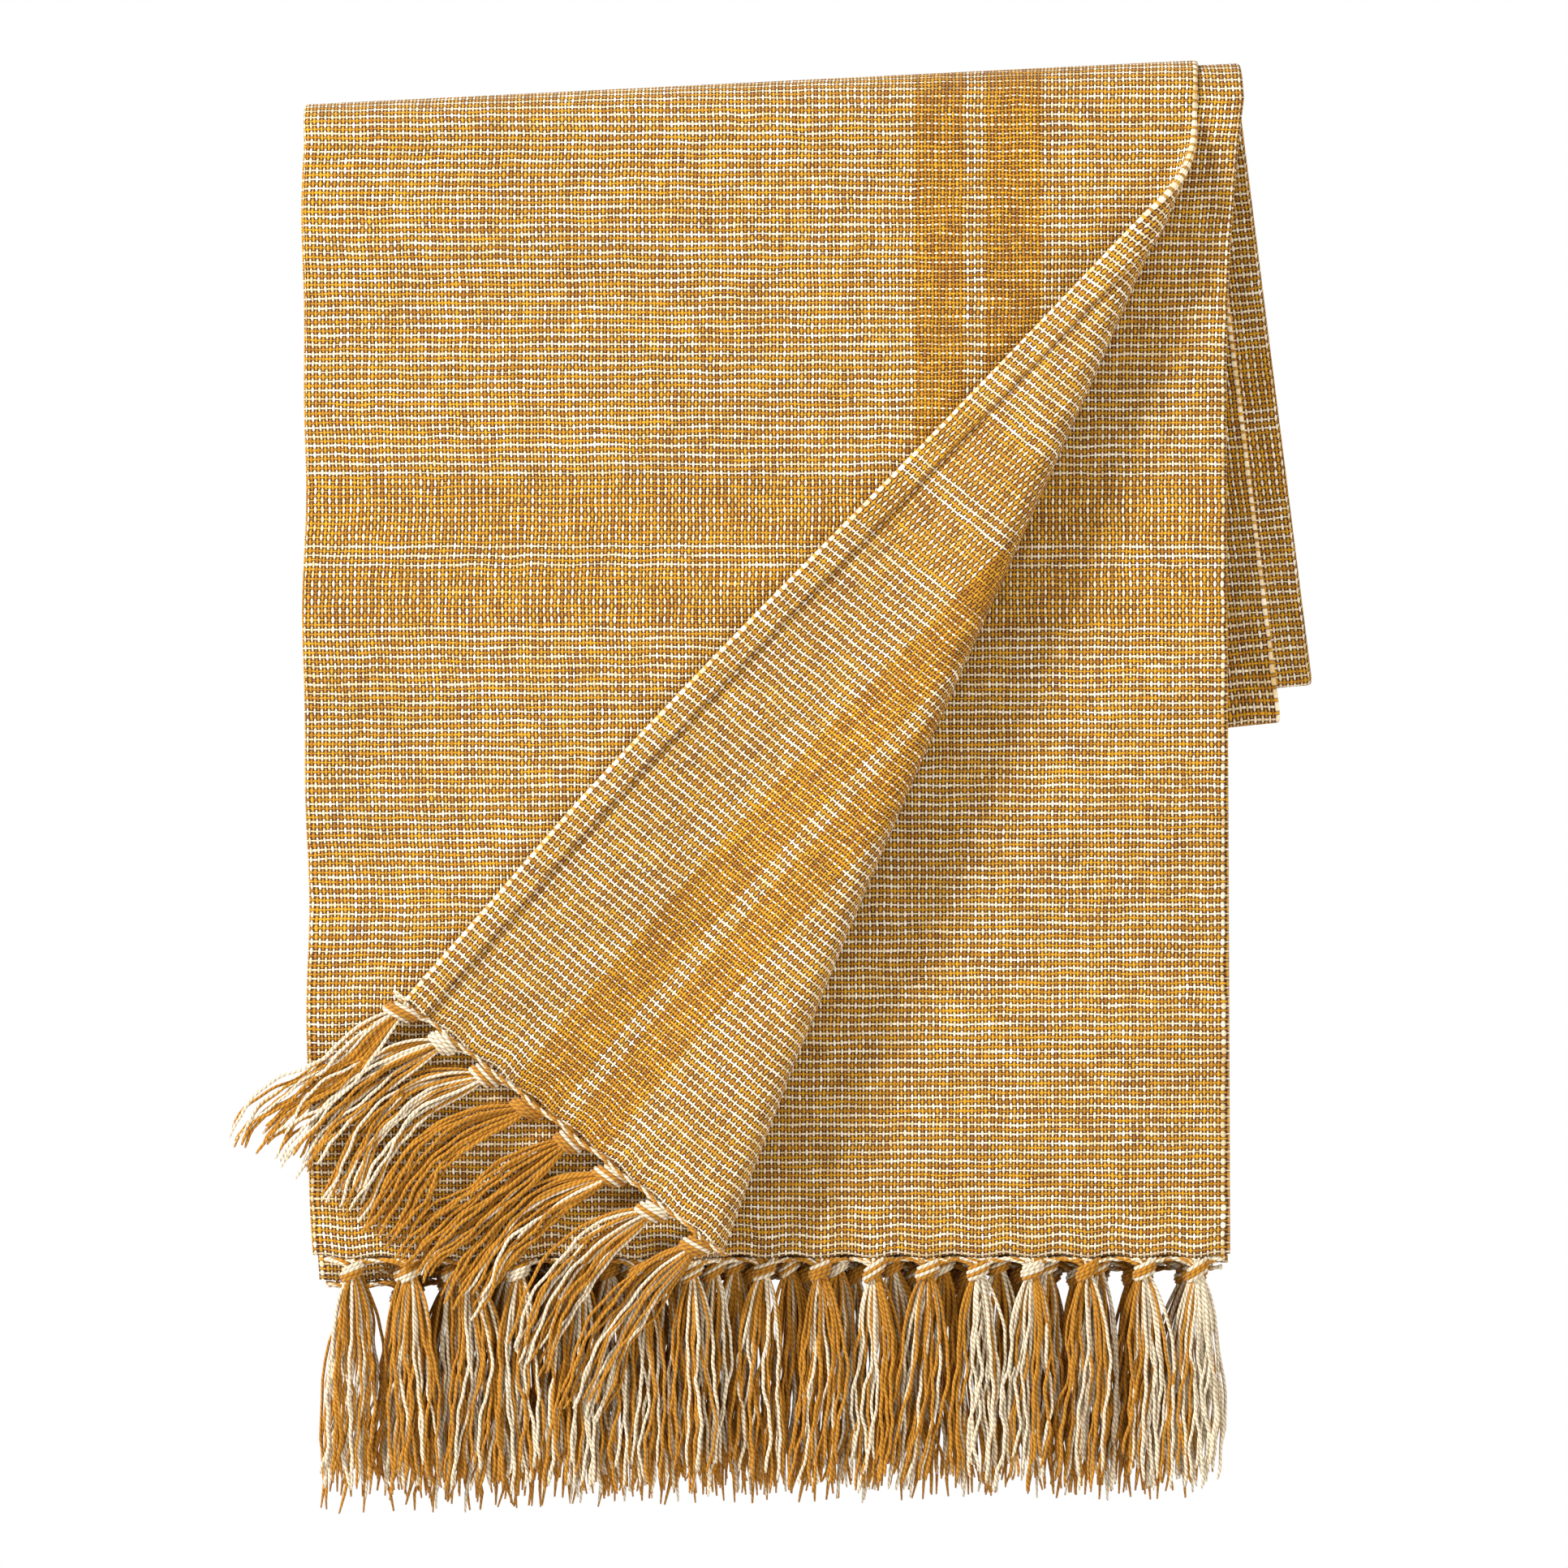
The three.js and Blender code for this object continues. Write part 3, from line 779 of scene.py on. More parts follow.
# ---------------------------------------------------------------- cloth
@dataclass
class TurnedCorner:
    """Maps the front leaf's right part round the soft roll and onto the front of the leaf."""

    hang: Hang
    roll_foot: float = 9.0 * MM
    roll_top: float = 7.5 * MM
    rest_gap: float = 3.0 * MM
    rest_swell: float = 1.6 * MM
    settle_foot: float = 95 * MM
    settle_top: float = 40 * MM
    bow: float = 6.0 * MM
    bow_early: float = 1.3

    def __post_init__(self) -> None:
        """Finds how much the flap is sheared and drawn in, from where its corner lies."""
        h = self.hang
        right_way = np.array([h.fold_direction[1], -h.fold_direction[0]])
        cut = np.array([h.front_hem, -h.drop]) - h.fold_foot
        laid = h.corner - h.fold_foot
        lost = (math.pi - 2) * self.roll_foot
        free = cut @ right_way - lost
        self.right_way = right_way
        self.draw_in = -(laid @ right_way) / free
        self.shear = (cut @ h.fold_direction - laid @ h.fold_direction) / free

    def radius(self, along: np.ndarray) -> np.ndarray:
        """Radius of the roll, from its foot to its top."""
        h = self.hang
        return lerp(self.roll_foot, self.roll_top, np.clip(along / h.fold_top_along, 0, 1.1))

    def __call__(self, x: np.ndarray, z: np.ndarray) -> np.ndarray:
        """Places points of the leaf.

        Beyond the roll's start a point goes round a half circle and then back over the leaf:
        the distance past the start is an arc length first and a straight one afterwards. The
        start bows outwards, most of all near the foot. On the flap the cloth is sheared along
        the fold and drawn in, and it sinks from the roll's full height to its resting gap. The
        leaf's waves fade out within a radius before the roll.

        Args:
            x: places across the unturned leaf.
            z: heights on the unturned leaf.

        Returns:
            The points in space.
        """
        h = self.hang
        relative = np.stack([x - h.fold_foot[0], z - h.fold_foot[1]], axis=-1)
        along = relative @ h.fold_direction
        beyond = relative @ self.right_way
        share = np.clip(along / h.fold_top_along, 0, 1)
        bow = self.bow * np.sin(np.pi * share) * (1 - share) * self.bow_early
        radius = self.radius(along)
        past = beyond + bow + radius
        turn = np.clip(past / radius, 0, np.pi)
        free = np.maximum(past - np.pi * radius, 0)
        aside = radius - radius * np.sin(turn) + free
        lift = radius * (1 - np.cos(turn))
        on_flap = turn > np.pi / 2
        settle = lerp(self.settle_foot, self.settle_top, share)
        swell = 0.5 + 0.5 * np.sin(along * 19.0 + free * 33.0)
        resting = self.rest_gap + self.rest_swell * swell * smooth(free / settle)
        lift = np.where(free > 0, lerp(lift, resting, smooth(free / settle)), lift)
        shear = np.where(on_flap, self.shear * aside, 0)
        aside = np.where(on_flap, self.draw_in * aside, aside) + bow
        plan = (
            h.fold_foot
            + (along - shear)[..., None] * h.fold_direction
            - aside[..., None] * self.right_way
        )
        px = np.where(past > 0, plan[..., 0], x)
        pz = np.where(past > 0, plan[..., 1], z)
        top_layer = np.full_like(px, h.layers - 1.0)
        point = h.front_point(px, pz, top_layer)
        calm = smooth(past / radius + 1)
        point[..., 1] = lerp(point[..., 1], h.front_plane(top_layer, pz), calm) - lift
        return point


@dataclass
class Columns:
    """The lengthwise lines of a third's grid, as arrays with one value each."""

    front: np.ndarray
    rail: np.ndarray
    back: np.ndarray
    layer: np.ndarray
    bulge: np.ndarray
    lengthwise: np.ndarray
    drop: np.ndarray


@dataclass
class Third:
    """One third of the cloth, from its outer fringed edge over the rail to its inner one."""

    hang: Hang
    name: str
    outer: int
    cloth: bpy.types.Material
    hem_cloth: bpy.types.Material
    u_start: float
    hem_side: Optional[Side]
    folds: tuple[Side, ...]
    step: float
    corner: Optional[TurnedCorner] = None
    thickness: float = 1.7 * MM
    hem_width: float = 12.3 * MM
    hem_lift: float = 1.85 * MM
    scallop_fade: float = 35 * MM
    slack_from: float = 0.79
    hem_columns: int = 6
    turn_columns: int = 5
    fold_columns: int = 5
    fold_length: float = 6.0 * MM
    front_rows: int = 148
    rail_rows: int = 18
    back_rows: int = 26
    fold_rows: int = 10
    rear_rows: int = 40

    @property
    def is_back(self) -> bool:
        """Whether this is the back third, whose hem is inside the stack at the left."""
        return self.hem_side is Side.LEFT

    def columns(self) -> Columns:
        """Sets out the columns from the third's start to its end.

        A fold's columns go a quarter turn: the layer number moves half a layer along a cosine
        while the column bulges outwards along a sine.

        Returns:
            The columns.
        """
        h = self.hang
        back, runs_right = self.is_back, self.hem_side is None
        right = h.front_hem if self.hem_side is Side.RIGHT else h.right
        left = h.back_hem if back else h.left
        span = right - left
        flat = int(round(span / self.step))
        share = np.linspace(0, 1, flat + 1)
        if self.hem_side is not None:
            near = np.linspace(0, self.hem_width / span, self.hem_columns + 1)
            share = np.concatenate([near[:-1], np.linspace(self.hem_width / span, 1, flat)])
        start, end = (left, right) if runs_right else (right, left)
        if back:
            share = 1 - share[::-1]
        x = lerp(start, end, share)
        u = self.u_start + share * span
        layer = np.full_like(x, float(self.outer))
        bulge = np.zeros_like(x)
        quarter = np.linspace(0, np.pi / 2, self.fold_columns + 1)[1:]
        for side in self.folds:
            at_start = (side is Side.LEFT) == runs_right
            toward = 1.0 if at_start else -1.0
            fold_x = np.full_like(quarter, x[0] if at_start else x[-1])
            fold_layer = self.outer + toward * 0.5 * (1 - np.cos(quarter))
            fold_u = quarter / np.pi * self.fold_length
            pieces = (fold_x, fold_layer, side.value * np.sin(quarter), fold_u)
            if at_start:
                fx, fl, fb, fu = (piece[::-1] for piece in pieces)
                x, layer, bulge = (np.concatenate(p) for p in ((fx, x), (fl, layer), (fb, bulge)))
                u = np.concatenate([u[0] - fu, u])
            else:
                fx, fl, fb, fu = pieces
                x, layer, bulge = (np.concatenate(p) for p in ((x, fx), (layer, fl), (bulge, fb)))
                u = np.concatenate([u, u[-1] + fu])
        reach = np.clip((x - h.left) / (h.right - h.left), 0, 1)
        hem_reach = (x - h.left) / (h.front_hem - h.left)
        own = np.zeros_like(x) if back else smooth((layer - 4.4) / 0.6)
        rail = x + h.rail_flare * reach * (1 - own)
        back_x = x + lerp(h.rail_flare * reach, h.back_hem_shift * hem_reach, own)
        drop = h.back_drop + h.front_third_sag * own
        return Columns(x, rail, back_x, layer, bulge, u, drop)

    def front_drop(self, c: Columns, layer: np.ndarray, rows: int, turned: bool) -> np.ndarray:
        """Rows of the front drop, from the fringed edge up to the rail.

        Heights run from the edge to the height of the rail at each column, and the columns
        flare outwards near the rail by a power of the height above the flare's start.

        Args:
            c: the columns.
            layer: the layer that each column lies on here.
            rows: number of steps up the drop.
            turned: whether the front leaf's corner is turned back.

        Returns:
            The points.
        """
        h = self.hang
        share = np.linspace(0, 1, rows + 1)[:, None]
        edge = h.edge_height(c.front, layer)
        top = c.rail * math.tan(h.slope)
        z = lerp(edge[None], top[None], share)
        flare = np.clip(1 - (top[None] - z) / h.flare_depth, 0, 1) ** 2.2
        x = c.front[None] + (c.rail - c.front)[None] * flare
        x = x + c.bulge[None] * h.spacing(z) / 2
        if turned and self.corner is not None:
            return self.corner(x, z)
        return h.front_point(x, z, np.broadcast_to(layer[None], z.shape))

    def over_rail(self, c: Columns, layer: np.ndarray) -> np.ndarray:
        """Rows over the rail, front to back: half circles across a rail that slopes.

        A column drifts along the rail by radius x angle x sine of the slope, and the whole is
        then turned by the slope.

        Args:
            c: the columns.
            layer: the layer that each column lies on here.

        Returns:
            The points.
        """
        h = self.hang
        angle = np.linspace(0, np.pi, self.rail_rows + 1)[:, None]
        radius = h.radius(layer)[None]
        sine = math.sin(h.slope)
        behind = c.back[None] - radius * np.pi * sine
        x = lerp(c.rail[None], behind, angle / np.pi) + c.bulge[None] * h.layer_step / 2
        along = (x + radius * angle * sine) / math.cos(h.slope)
        points = np.stack([along, -radius * np.cos(angle), radius * np.sin(angle)], axis=-1)
        return turned_about_depth(points, h.slope)

    def crosswise(self, c: Columns) -> np.ndarray:
        """Rows of the half turn at the foot of the back drop, from the outer layer to the inner."""
        h = self.hang
        angle = np.linspace(0, np.pi, self.fold_rows + 1)[:, None]
        outer, inner = h.radius(c.layer), h.radius(h.layers - 1 - c.layer)
        middle, half = (outer + inner)[None] / 2, (outer - inner)[None] / 2
        x = c.back[None] + h.back_swing + c.bulge[None] * h.layer_step / 2 + 0 * angle
        sway = 1.2 * MM * np.sin(x * 23.0)
        down = c.drop[None] + half * np.sin(angle) + sway
        points = np.stack([x, middle + half * np.cos(angle), -down], axis=-1)
        return turned_about_depth(points, 2 * h.slope)

    def grid(self, c: Columns) -> tuple[np.ndarray, np.ndarray]:
        """Puts the rows of the whole third together.

        The lengths are measured with the corner unturned, follow the scallops at both fringed
        edges, and take up what a column lacks of the cloth's length where nobody looks, on the
        inner layers.

        Args:
            c: the columns.

        Returns:
            The points, and the lengths along the ends from the outer fringed edge.
        """
        h = self.hang
        inner = h.layers - 1 - c.layer
        front = self.front_drop(c, c.layer, self.front_rows, True)
        unturned = self.front_drop(c, c.layer, self.front_rows, False)
        over = self.over_rail(c, c.layer)
        turn = self.crosswise(c)
        under = self.over_rail(c, inner)[::-1]
        rear = self.front_drop(c, inner, self.rear_rows, False)[::-1]
        share = np.linspace(0, 1, self.back_rows + 1)[1:-1, None, None]
        down = lerp(over[-1][None], turn[0][None], share)
        up = lerp(turn[-1][None], under[0][None], share)
        points = np.concatenate([front, over[1:], down, turn, up, under, rear[1:]])
        measured = np.concatenate([unturned, over[1:], down, turn, up, under, rear[1:]])
        steps = np.linalg.norm(np.diff(measured, axis=0), axis=-1)
        length = np.concatenate([np.zeros((1, steps.shape[1])), np.cumsum(steps, axis=0)])
        fade = self.scallop_fade
        length = length + h.dips(c.front, c.layer)[None] * smooth(length / fade)
        total = length[-1:]
        inner_dips = h.dips(c.front, inner)[None]
        slack = WovenCotton.length - inner_dips - total
        settled = length + slack * smooth((length - self.slack_from) / (total - 2 * self.slack_from))
        return points, settled + inner_dips * smooth((length - total + fade) / fade)

    def build(self) -> dict[str, bpy.types.Object]:
        """Builds the third's cloth and, at a free edge, its turned hem.

        Returns:
            The pieces by name.
        """
        c = self.columns()
        points, length = self.grid(c)
        uv = np.stack([np.broadcast_to(c.lengthwise[None], length.shape), length], axis=-1)
        if self.hem_side is None:
            sheet = thick_sheet(points, uv, self.thickness)
            return {"cloth": sheet.to_object(self.name, self.cloth)}
        body, hem = self._with_hem(points, uv)
        cloth = thick_sheet(*body, self.thickness)
        turned = thick_sheet(*hem, self.thickness)
        return {
            "cloth": cloth.to_object(self.name, self.cloth),
            "hem": turned.to_object(self.name + "_turned_hem", self.hem_cloth),
        }

    def _with_hem(
        self, points: np.ndarray, uv: np.ndarray
    ) -> tuple[tuple[np.ndarray, np.ndarray], tuple[np.ndarray, np.ndarray]]:
        """Rolls the free edge over and lays the hem's strip along it.

        The roll is a half circle of half the hem's lift, shared by the cloth and the hem: the
        cloth has its first half and the hem the rest. Lengths across run back from the edge.

        Args:
            points: the third's grid.
            uv: its lengths across and along.

        Returns:
            The points and lengths of the cloth, and those of the hem.
        """
        back, turns, columns = self.is_back, self.turn_columns, self.hem_columns
        if back:
            points, uv = points[:, ::-1], uv[:, ::-1]
        normals = grid_normals(points) * (-1.0 if back else 1.0)
        outward = unit(points[:, 0] - points[:, 1])
        half_turn = np.linspace(0, np.pi, 2 * turns + 1)
        radius = self.hem_lift / 2
        edge = points[:, :1] + (
            normals[:, :1] * (radius * (1 - np.cos(half_turn)))[None, :, None]
            + outward[:, None] * (radius * np.sin(half_turn))[None, :, None]
        )
        strip = points[:, 1 : columns + 1] + normals[:, 1 : columns + 1] * self.hem_lift
        first = uv[:, :1]
        strip_uv = uv[:, 1 : columns + 1] * (-1.0, 1.0) + first * (2.0, 0.0)
        hem = np.concatenate([edge[:, turns:], strip], axis=1)
        hem_uv = np.concatenate([np.repeat(first, turns + 1, axis=1), strip_uv], axis=1)
        body = np.concatenate([edge[:, turns:0:-1], points], axis=1)
        body_uv = np.concatenate([np.repeat(first, turns, axis=1), uv], axis=1)
        if back:
            return (body[:, ::-1], body_uv[:, ::-1]), (hem, hem_uv)
        return (body, body_uv), (hem[:, ::-1], hem_uv[:, ::-1])


# ---------------------------------------------------------------- fringe
@dataclass
class TasselRow:
    """A row of knotted tassels: where each hangs, and how its yarns run."""

    name: str
    origins: np.ndarray
    edge_way: np.ndarray
    sweep_start: np.ndarray
    sweep_end: np.ndarray
    pitch: float
    yarn: bpy.types.Material
    seed: int
    yarns: int = 16
    stations: int = 36
    sides: int = 6
    length: float = 104 * MM
    yarn_radius: float = 0.80 * MM
    neck: float = 3.0 * MM
    knot_length: float = 7.0 * MM
    knot_half: float = 4.9 * MM
    knot_depth: float = 3.3 * MM
    spread: float = 11.0 * MM
    depth: float = 2.2 * MM
    mustard_share: float = 0.6
    rest_gap: float = 4.4 * MM
    shortest: float = 0.85
    knot_turns: int = 4
    knot_yarn: float = 1.3
    dyes: Optional[np.ndarray] = None
    rests: Optional[Hang] = None

    def __post_init__(self) -> None:
        """Gives each tassel its own slight curl, in degrees at its widest."""
        reach = 13.0 if self.rests is not None else 4.0
        random = np.random.default_rng(self.seed + 9)
        self.curl = np.radians(random.normal(0, reach, len(self.origins)))

    def build(self) -> bpy.types.Object:
        """Makes the yarns, the knots and the last weft threads as one piece.

        Returns:
            The row's object.
        """
        random = np.random.default_rng(self.seed)
        parts = [self._yarns(random), self._knots(random), self._edge_threads()]
        return MeshData.joined(parts).to_object(self.name, self.yarn)

    def _centre_lines(self, fine: np.ndarray) -> tuple[np.ndarray, np.ndarray]:
        """Runs each tassel's centre line: its slant eases from the start's to the end's.

        Args:
            fine: lengths from the cloth's edge, for all tassels.

        Returns:
            Points, and the slants there, tassels x stations.
        """
        share = fine / self.length
        slant = lerp(self.sweep_start[:, None], self.sweep_end[:, None], smooth(share)[None])
        slant = slant + self.curl[:, None] * np.sin(2 * np.pi * share)[None]
        step = np.diff(fine, prepend=fine[0])[None]
        x = self.origins[:, :1] - np.cumsum(np.sin(slant) * step, axis=1)
        z = self.origins[:, 2:] - np.cumsum(np.cos(slant) * step, axis=1)
        y = np.broadcast_to(self.origins[:, 1:2], x.shape)
        if self.rests is not None:
            h = self.rests
            top = np.full_like(x, h.layers - 1.0)
            resting = h.front_plane(top, np.maximum(z, -h.drop)) - self.rest_gap
            y = lerp(y, resting, smooth(share * 3)[None])
        return np.stack([x, y, z], axis=-1), slant

    def _yarns(self, random: np.random.Generator) -> MeshData:
        """Runs the yarns: gathered from the cloth's edge into the knot, then hanging loose.

        A yarn keeps its place across the tassel. The tassel's half width falls from half the
        pitch to the knot's, stays there through the knot, and grows to the spread below it.
        Slow sines of the yarn's own phase add the waves that the weave has left in it.

        Args:
            random: where the yarns' differences come from.

        Returns:
            The yarns.
        """
        count = len(self.origins)
        early = np.linspace(0, self.neck + self.knot_length, 6)
        later = np.linspace(early[-1] + 3 * MM, self.length * 1.06, self.stations - len(early))
        fine = np.concatenate([early, later])
        centre, slant = self._centre_lines(fine)
        slots = np.linspace(-1, 1, self.yarns)
        place = slots[None] + random.normal(0, 0.10, (count, self.yarns))
        back = random.uniform(-1, 1, (count, self.yarns))
        gather = smooth(fine / self.neck)
        below = np.maximum(fine - self.neck - self.knot_length * 0.8, 0)
        loose = 1 - np.exp(-below / (17 * MM))
        half = lerp(lerp(self.pitch / 2, self.knot_half * 0.42, gather), self.spread, loose)
        deep = lerp(lerp(0.4 * MM, 1.2 * MM, gather), self.depth, loose)
        free = smooth((fine - self.neck - self.knot_length) / (45 * MM))
        phase = random.uniform(0, 2 * np.pi, (2, count, self.yarns, 1))
        rate = random.uniform(1.0, 2.6, (count, self.yarns, 1))
        reach = random.uniform(0.5, 2.3, (count, self.yarns, 1)) * MM
        share = (fine / self.length)[None, None]
        sway = random.normal(0, 2.0, (count, 1, 1)) * MM * share**2
        wave = reach * np.sin(2 * np.pi * rate * share + phase[0]) * free + sway
        wave = wave + 0.4 * MM * np.sin(2 * np.pi * (3 + 2 * rate) * share + phase[1]) * free
        aside = place[..., None] * half[None, None] + wave
        ahead = back[..., None] * deep[None, None] + 0.7 * wave[..., ::-1] * free
        across = np.stack([np.cos(slant), np.zeros_like(slant), -np.sin(slant)], axis=-1)
        paths = (
            centre[:, None]
            + across[:, None] * aside[..., None]
            - np.array([0.0, 1.0, 0.0]) * ahead[..., None]
        )
        start = self.edge_way[None, None, None] * (place * self.pitch / 2)[..., None, None]
        begun = self.origins[:, None, None] + start
        paths = lerp(begun, paths, smooth(fine / (self.neck * 0.8))[None, None, :, None])
        paths = self._cut(paths, random)
        mustard = (random.uniform(0, 1, (count, self.yarns)) < self._dye(count, random)).astype(float)
        taper = np.ones(self.stations)
        taper[-1] = 0.55
        radii = self.yarn_radius * random.uniform(0.88, 1.12, (count * self.yarns, 1)) * taper[None]
        flat = paths.reshape(count * self.yarns, self.stations, 3)
        return tubes(flat, radii, self.sides, np.array([0.0, 1.0, 0.0]), mustard.ravel())

    def _dye(self, count: int, random: np.random.Generator) -> np.ndarray:
        """Chance of mustard for each tassel's yarns."""
        if self.dyes is not None:
            return self.dyes[:, None]
        return np.clip(random.normal(self.mustard_share, 0.15, (count, 1)), 0.25, 1.0)

    def _cut(self, paths: np.ndarray, random: np.random.Generator) -> np.ndarray:
        """Cuts each yarn at its own length by walking its stations up the path.

        Args:
            paths: tassels x yarns x stations x 3 points.
            random: where the lengths come from.

        Returns:
            The shortened paths.
        """
        count, yarns, stations = paths.shape[:3]
        keep = random.uniform(self.shortest, 1.0, (count, yarns))
        position = np.linspace(0, stations - 1, stations)[None, None] * keep[..., None]
        low = np.minimum(np.floor(position).astype(int), stations - 2)
        rest = (position - low)[..., None]
        k, j = np.meshgrid(np.arange(count), np.arange(yarns), indexing="ij")
        a = paths[k[..., None], j[..., None], low]
        b = paths[k[..., None], j[..., None], low + 1]
        return lerp(a, b, rest)

    def _knots(self, random: np.random.Generator) -> MeshData:
        """Winds each knot: turns of yarn laid side by side round the gathered ends, slanting.

        A turn is an ellipse across the tassel, tipped about the depth axis, and the turns step
        down the tassel while the middle ones stand out further.

        Args:
            random: where the knots' differences come from.

        Returns:
            The knots.
        """
        count, turns, stations = len(self.origins), self.knot_turns, 17
        fine = np.linspace(0, self.neck + self.knot_length, 8)
        centre, slant = self._centre_lines(fine)
        first = centre[:, 4]
        lean = slant[:, 4]
        down = np.stack([-np.sin(lean), np.zeros_like(lean), -np.cos(lean)], axis=-1)
        across = np.stack([np.cos(lean), np.zeros_like(lean), -np.sin(lean)], axis=-1)
        front = np.array([0.0, -1.0, 0.0])
        step = np.linspace(-0.36, 0.36, turns)
        swell = np.sqrt(1 - (step * 1.5) ** 2)
        tip = -np.radians(random.uniform(20, 36, count))
        angle = np.linspace(0, 2 * np.pi, stations)
        a = np.cos(angle)[None, None] * (self.knot_half * swell)[None, :, None]
        b = np.sin(angle)[None, None] * (self.knot_depth * swell)[None, :, None]
        tilt = np.tan(tip)[:, None, None] * a
        drop = (step * self.knot_length)[None, :, None] + tilt
        paths = (
            first[:, None, None]
            + across[:, None, None] * a[..., None]
            + front * b[..., None]
            + down[:, None, None] * drop[..., None]
        )
        radii = np.full((count * turns, stations), self.yarn_radius * self.knot_yarn)
        mustard = (random.uniform(0, 1, count * turns) < self.mustard_share).astype(float)
        reference = np.repeat(down, turns, axis=0)
        flat = paths.reshape(count * turns, stations, 3)
        return tubes(flat, radii, self.sides, reference, mustard)

    def _edge_threads(self) -> MeshData:
        """Runs the last two weft threads from knot to knot.

        They bow outwards between two knots by a cosine, and go round each other by a sine
        outwards and a cosine in depth.

        Returns:
            The threads.
        """
        threads, per_pitch = 2, 10
        steps = len(self.origins) * per_pitch
        s = np.linspace(-0.5, len(self.origins) - 0.5, steps)
        first, last = self.origins[0], self.origins[-1]
        span = max(len(self.origins) - 1, 1)
        line = lerp(first[None], last[None], (s / span)[:, None])
        outward = np.cross(self.edge_way, np.array([0.0, 1.0, 0.0]))
        outward = outward * (-1.0 if outward[2] > 0 else 1.0)
        bow = 0.5 * MM + 0.9 * MM * np.abs(np.cos(np.pi * s))
        twine = np.pi * np.arange(threads)[:, None] + 2 * np.pi * s[None] * 2.5
        paths = (
            line[None]
            + outward * (bow[None] + 0.6 * MM * np.sin(twine))[..., None]
            - np.array([0.0, 1.0, 0.0]) * (0.7 * MM * np.cos(twine))[..., None]
        )
        radii = np.full((threads, steps), self.yarn_radius * 0.95)
        return tubes(paths, radii, self.sides, np.array([0.0, 1.0, 0.0]), np.array([0.0, 1.0]))


# ---------------------------------------------------------------- stage
@dataclass(frozen=True)
class SoftBox:
    """A square soft box: where it stands, its side in metres and its power in watts."""

    name: str
    place: tuple[float, float, float]
    size: float
    power: float


@dataclass
class Studio:
    """Plain white floor, soft light from the upper left and a level camera in front."""

    view_width: float = 0.734
    centre: tuple[float, float] = (0.0089, -0.310)
    distance: float = 3.0
    front_depth: float = 0.02
    floor_height: float = -0.72
    floor_radius: float = 5.0
    room_light: float = 0.40
    room_colour: tuple[float, float, float, float] = (1, 0.89, 0.76, 1)
    lights: tuple[SoftBox, ...] = (
        SoftBox("key", (-2.7, -1.65, 1.4), 0.75, 196.0),
        SoftBox("fill", (2.6, -1.9, -0.1), 2.0, 52.0),
        SoftBox("back", (-1.2, 2.8, 0.9), 1.8, 70.0),
    )

    def build(self) -> None:
        """Sets up the world, the floor, the lights and the camera."""
        self._camera()
        self._world()
        self._floor()
        for box in self.lights:
            self._light(box)
        bpy.context.scene.view_settings.view_transform = "Standard"

    def _camera(self) -> None:
        """A long lens looks along +Y at the middle of the throw."""
        data = bpy.data.cameras.new("camera")
        data.sensor_width = 36.0
        near = self.distance - self.front_depth
        data.lens = data.sensor_width * near / self.view_width
        camera = bpy.data.objects.new("camera", data)
        camera.location = (self.centre[0], -self.distance, self.centre[1])
        camera.rotation_euler = (math.pi / 2, 0, 0)
        bpy.context.scene.collection.objects.link(camera)
        bpy.context.scene.camera = camera

    def _world(self) -> None:
        """White surround: full white where it is seen, softer where it lights."""
        world = bpy.data.worlds.new("white_studio")
        world.use_nodes = True
        tree = world.node_tree
        tree.nodes.clear()
        output = tree.nodes.new("ShaderNodeOutputWorld")
        seen = tree.nodes.new("ShaderNodeBackground")
        lit = tree.nodes.new("ShaderNodeBackground")
        seen.inputs["Strength"].default_value = 1.0
        lit.inputs["Strength"].default_value = self.room_light
        seen.inputs["Color"].default_value = (1, 1, 1, 1)
        lit.inputs["Color"].default_value = self.room_colour
        path = tree.nodes.new("ShaderNodeLightPath")
        mix = tree.nodes.new("ShaderNodeMixShader")
        tree.links.new(path.outputs["Is Camera Ray"], mix.inputs[0])
        tree.links.new(lit.outputs[0], mix.inputs[1])
        tree.links.new(seen.outputs[0], mix.inputs[2])
        tree.links.new(mix.outputs[0], output.inputs["Surface"])
        bpy.context.scene.world = world

    def _floor(self) -> None:
        """A round white floor well below the fringe."""
        g = Graph("white_studio_floor")
        glow = g.add("Emission", {"Color": (1, 1, 1, 1), "Strength": 1.0}, "Emission")
        paint = g.add("BsdfDiffuse", {"Color": (0.8, 0.8, 0.8, 1)}, "BSDF")
        seen = g.add("LightPath", {}, "Is Camera Ray")
        finish = g.close(g.add("MixShader", {0: seen, 1: paint, 2: glow}))
        count = 48
        turn = 2 * np.pi * np.arange(count) / count
        level = np.full(count, self.floor_height)
        ring = np.stack([self.floor_radius * np.cos(turn), self.floor_radius * np.sin(turn), level], axis=-1)
        data = MeshData(ring, np.arange(count), np.array([0]), np.zeros((count, 2)), np.zeros(count))
        data.to_object("floor", finish)

    def _light(self, box: SoftBox) -> None:
        """Stands a soft box up and aims it at the throw's middle."""
        data = bpy.data.lights.new(box.name, "AREA")
        data.size = box.size
        data.energy = box.power
        light = bpy.data.objects.new(box.name, data)
        target = np.array([0.0, 0.0, self.centre[1]])
        way = unit(target - np.array(box.place))
        light.location = box.place
        light.rotation_euler = (math.acos(-way[2]), 0.0, math.atan2(-way[0], way[1]))
        bpy.context.scene.collection.objects.link(light)


# ---------------------------------------------------------------- the throw
@dataclass(frozen=True)
class RowPlan:
    """Where a hanging row of fringe belongs: its name, layer, tassels and sideways shift in pitches."""

    key: str
    layer: int
    count: int
    shift: float

    @property
    def rear(self) -> bool:
        """Whether the row hangs behind the others."""
        return self.key.startswith("rear")


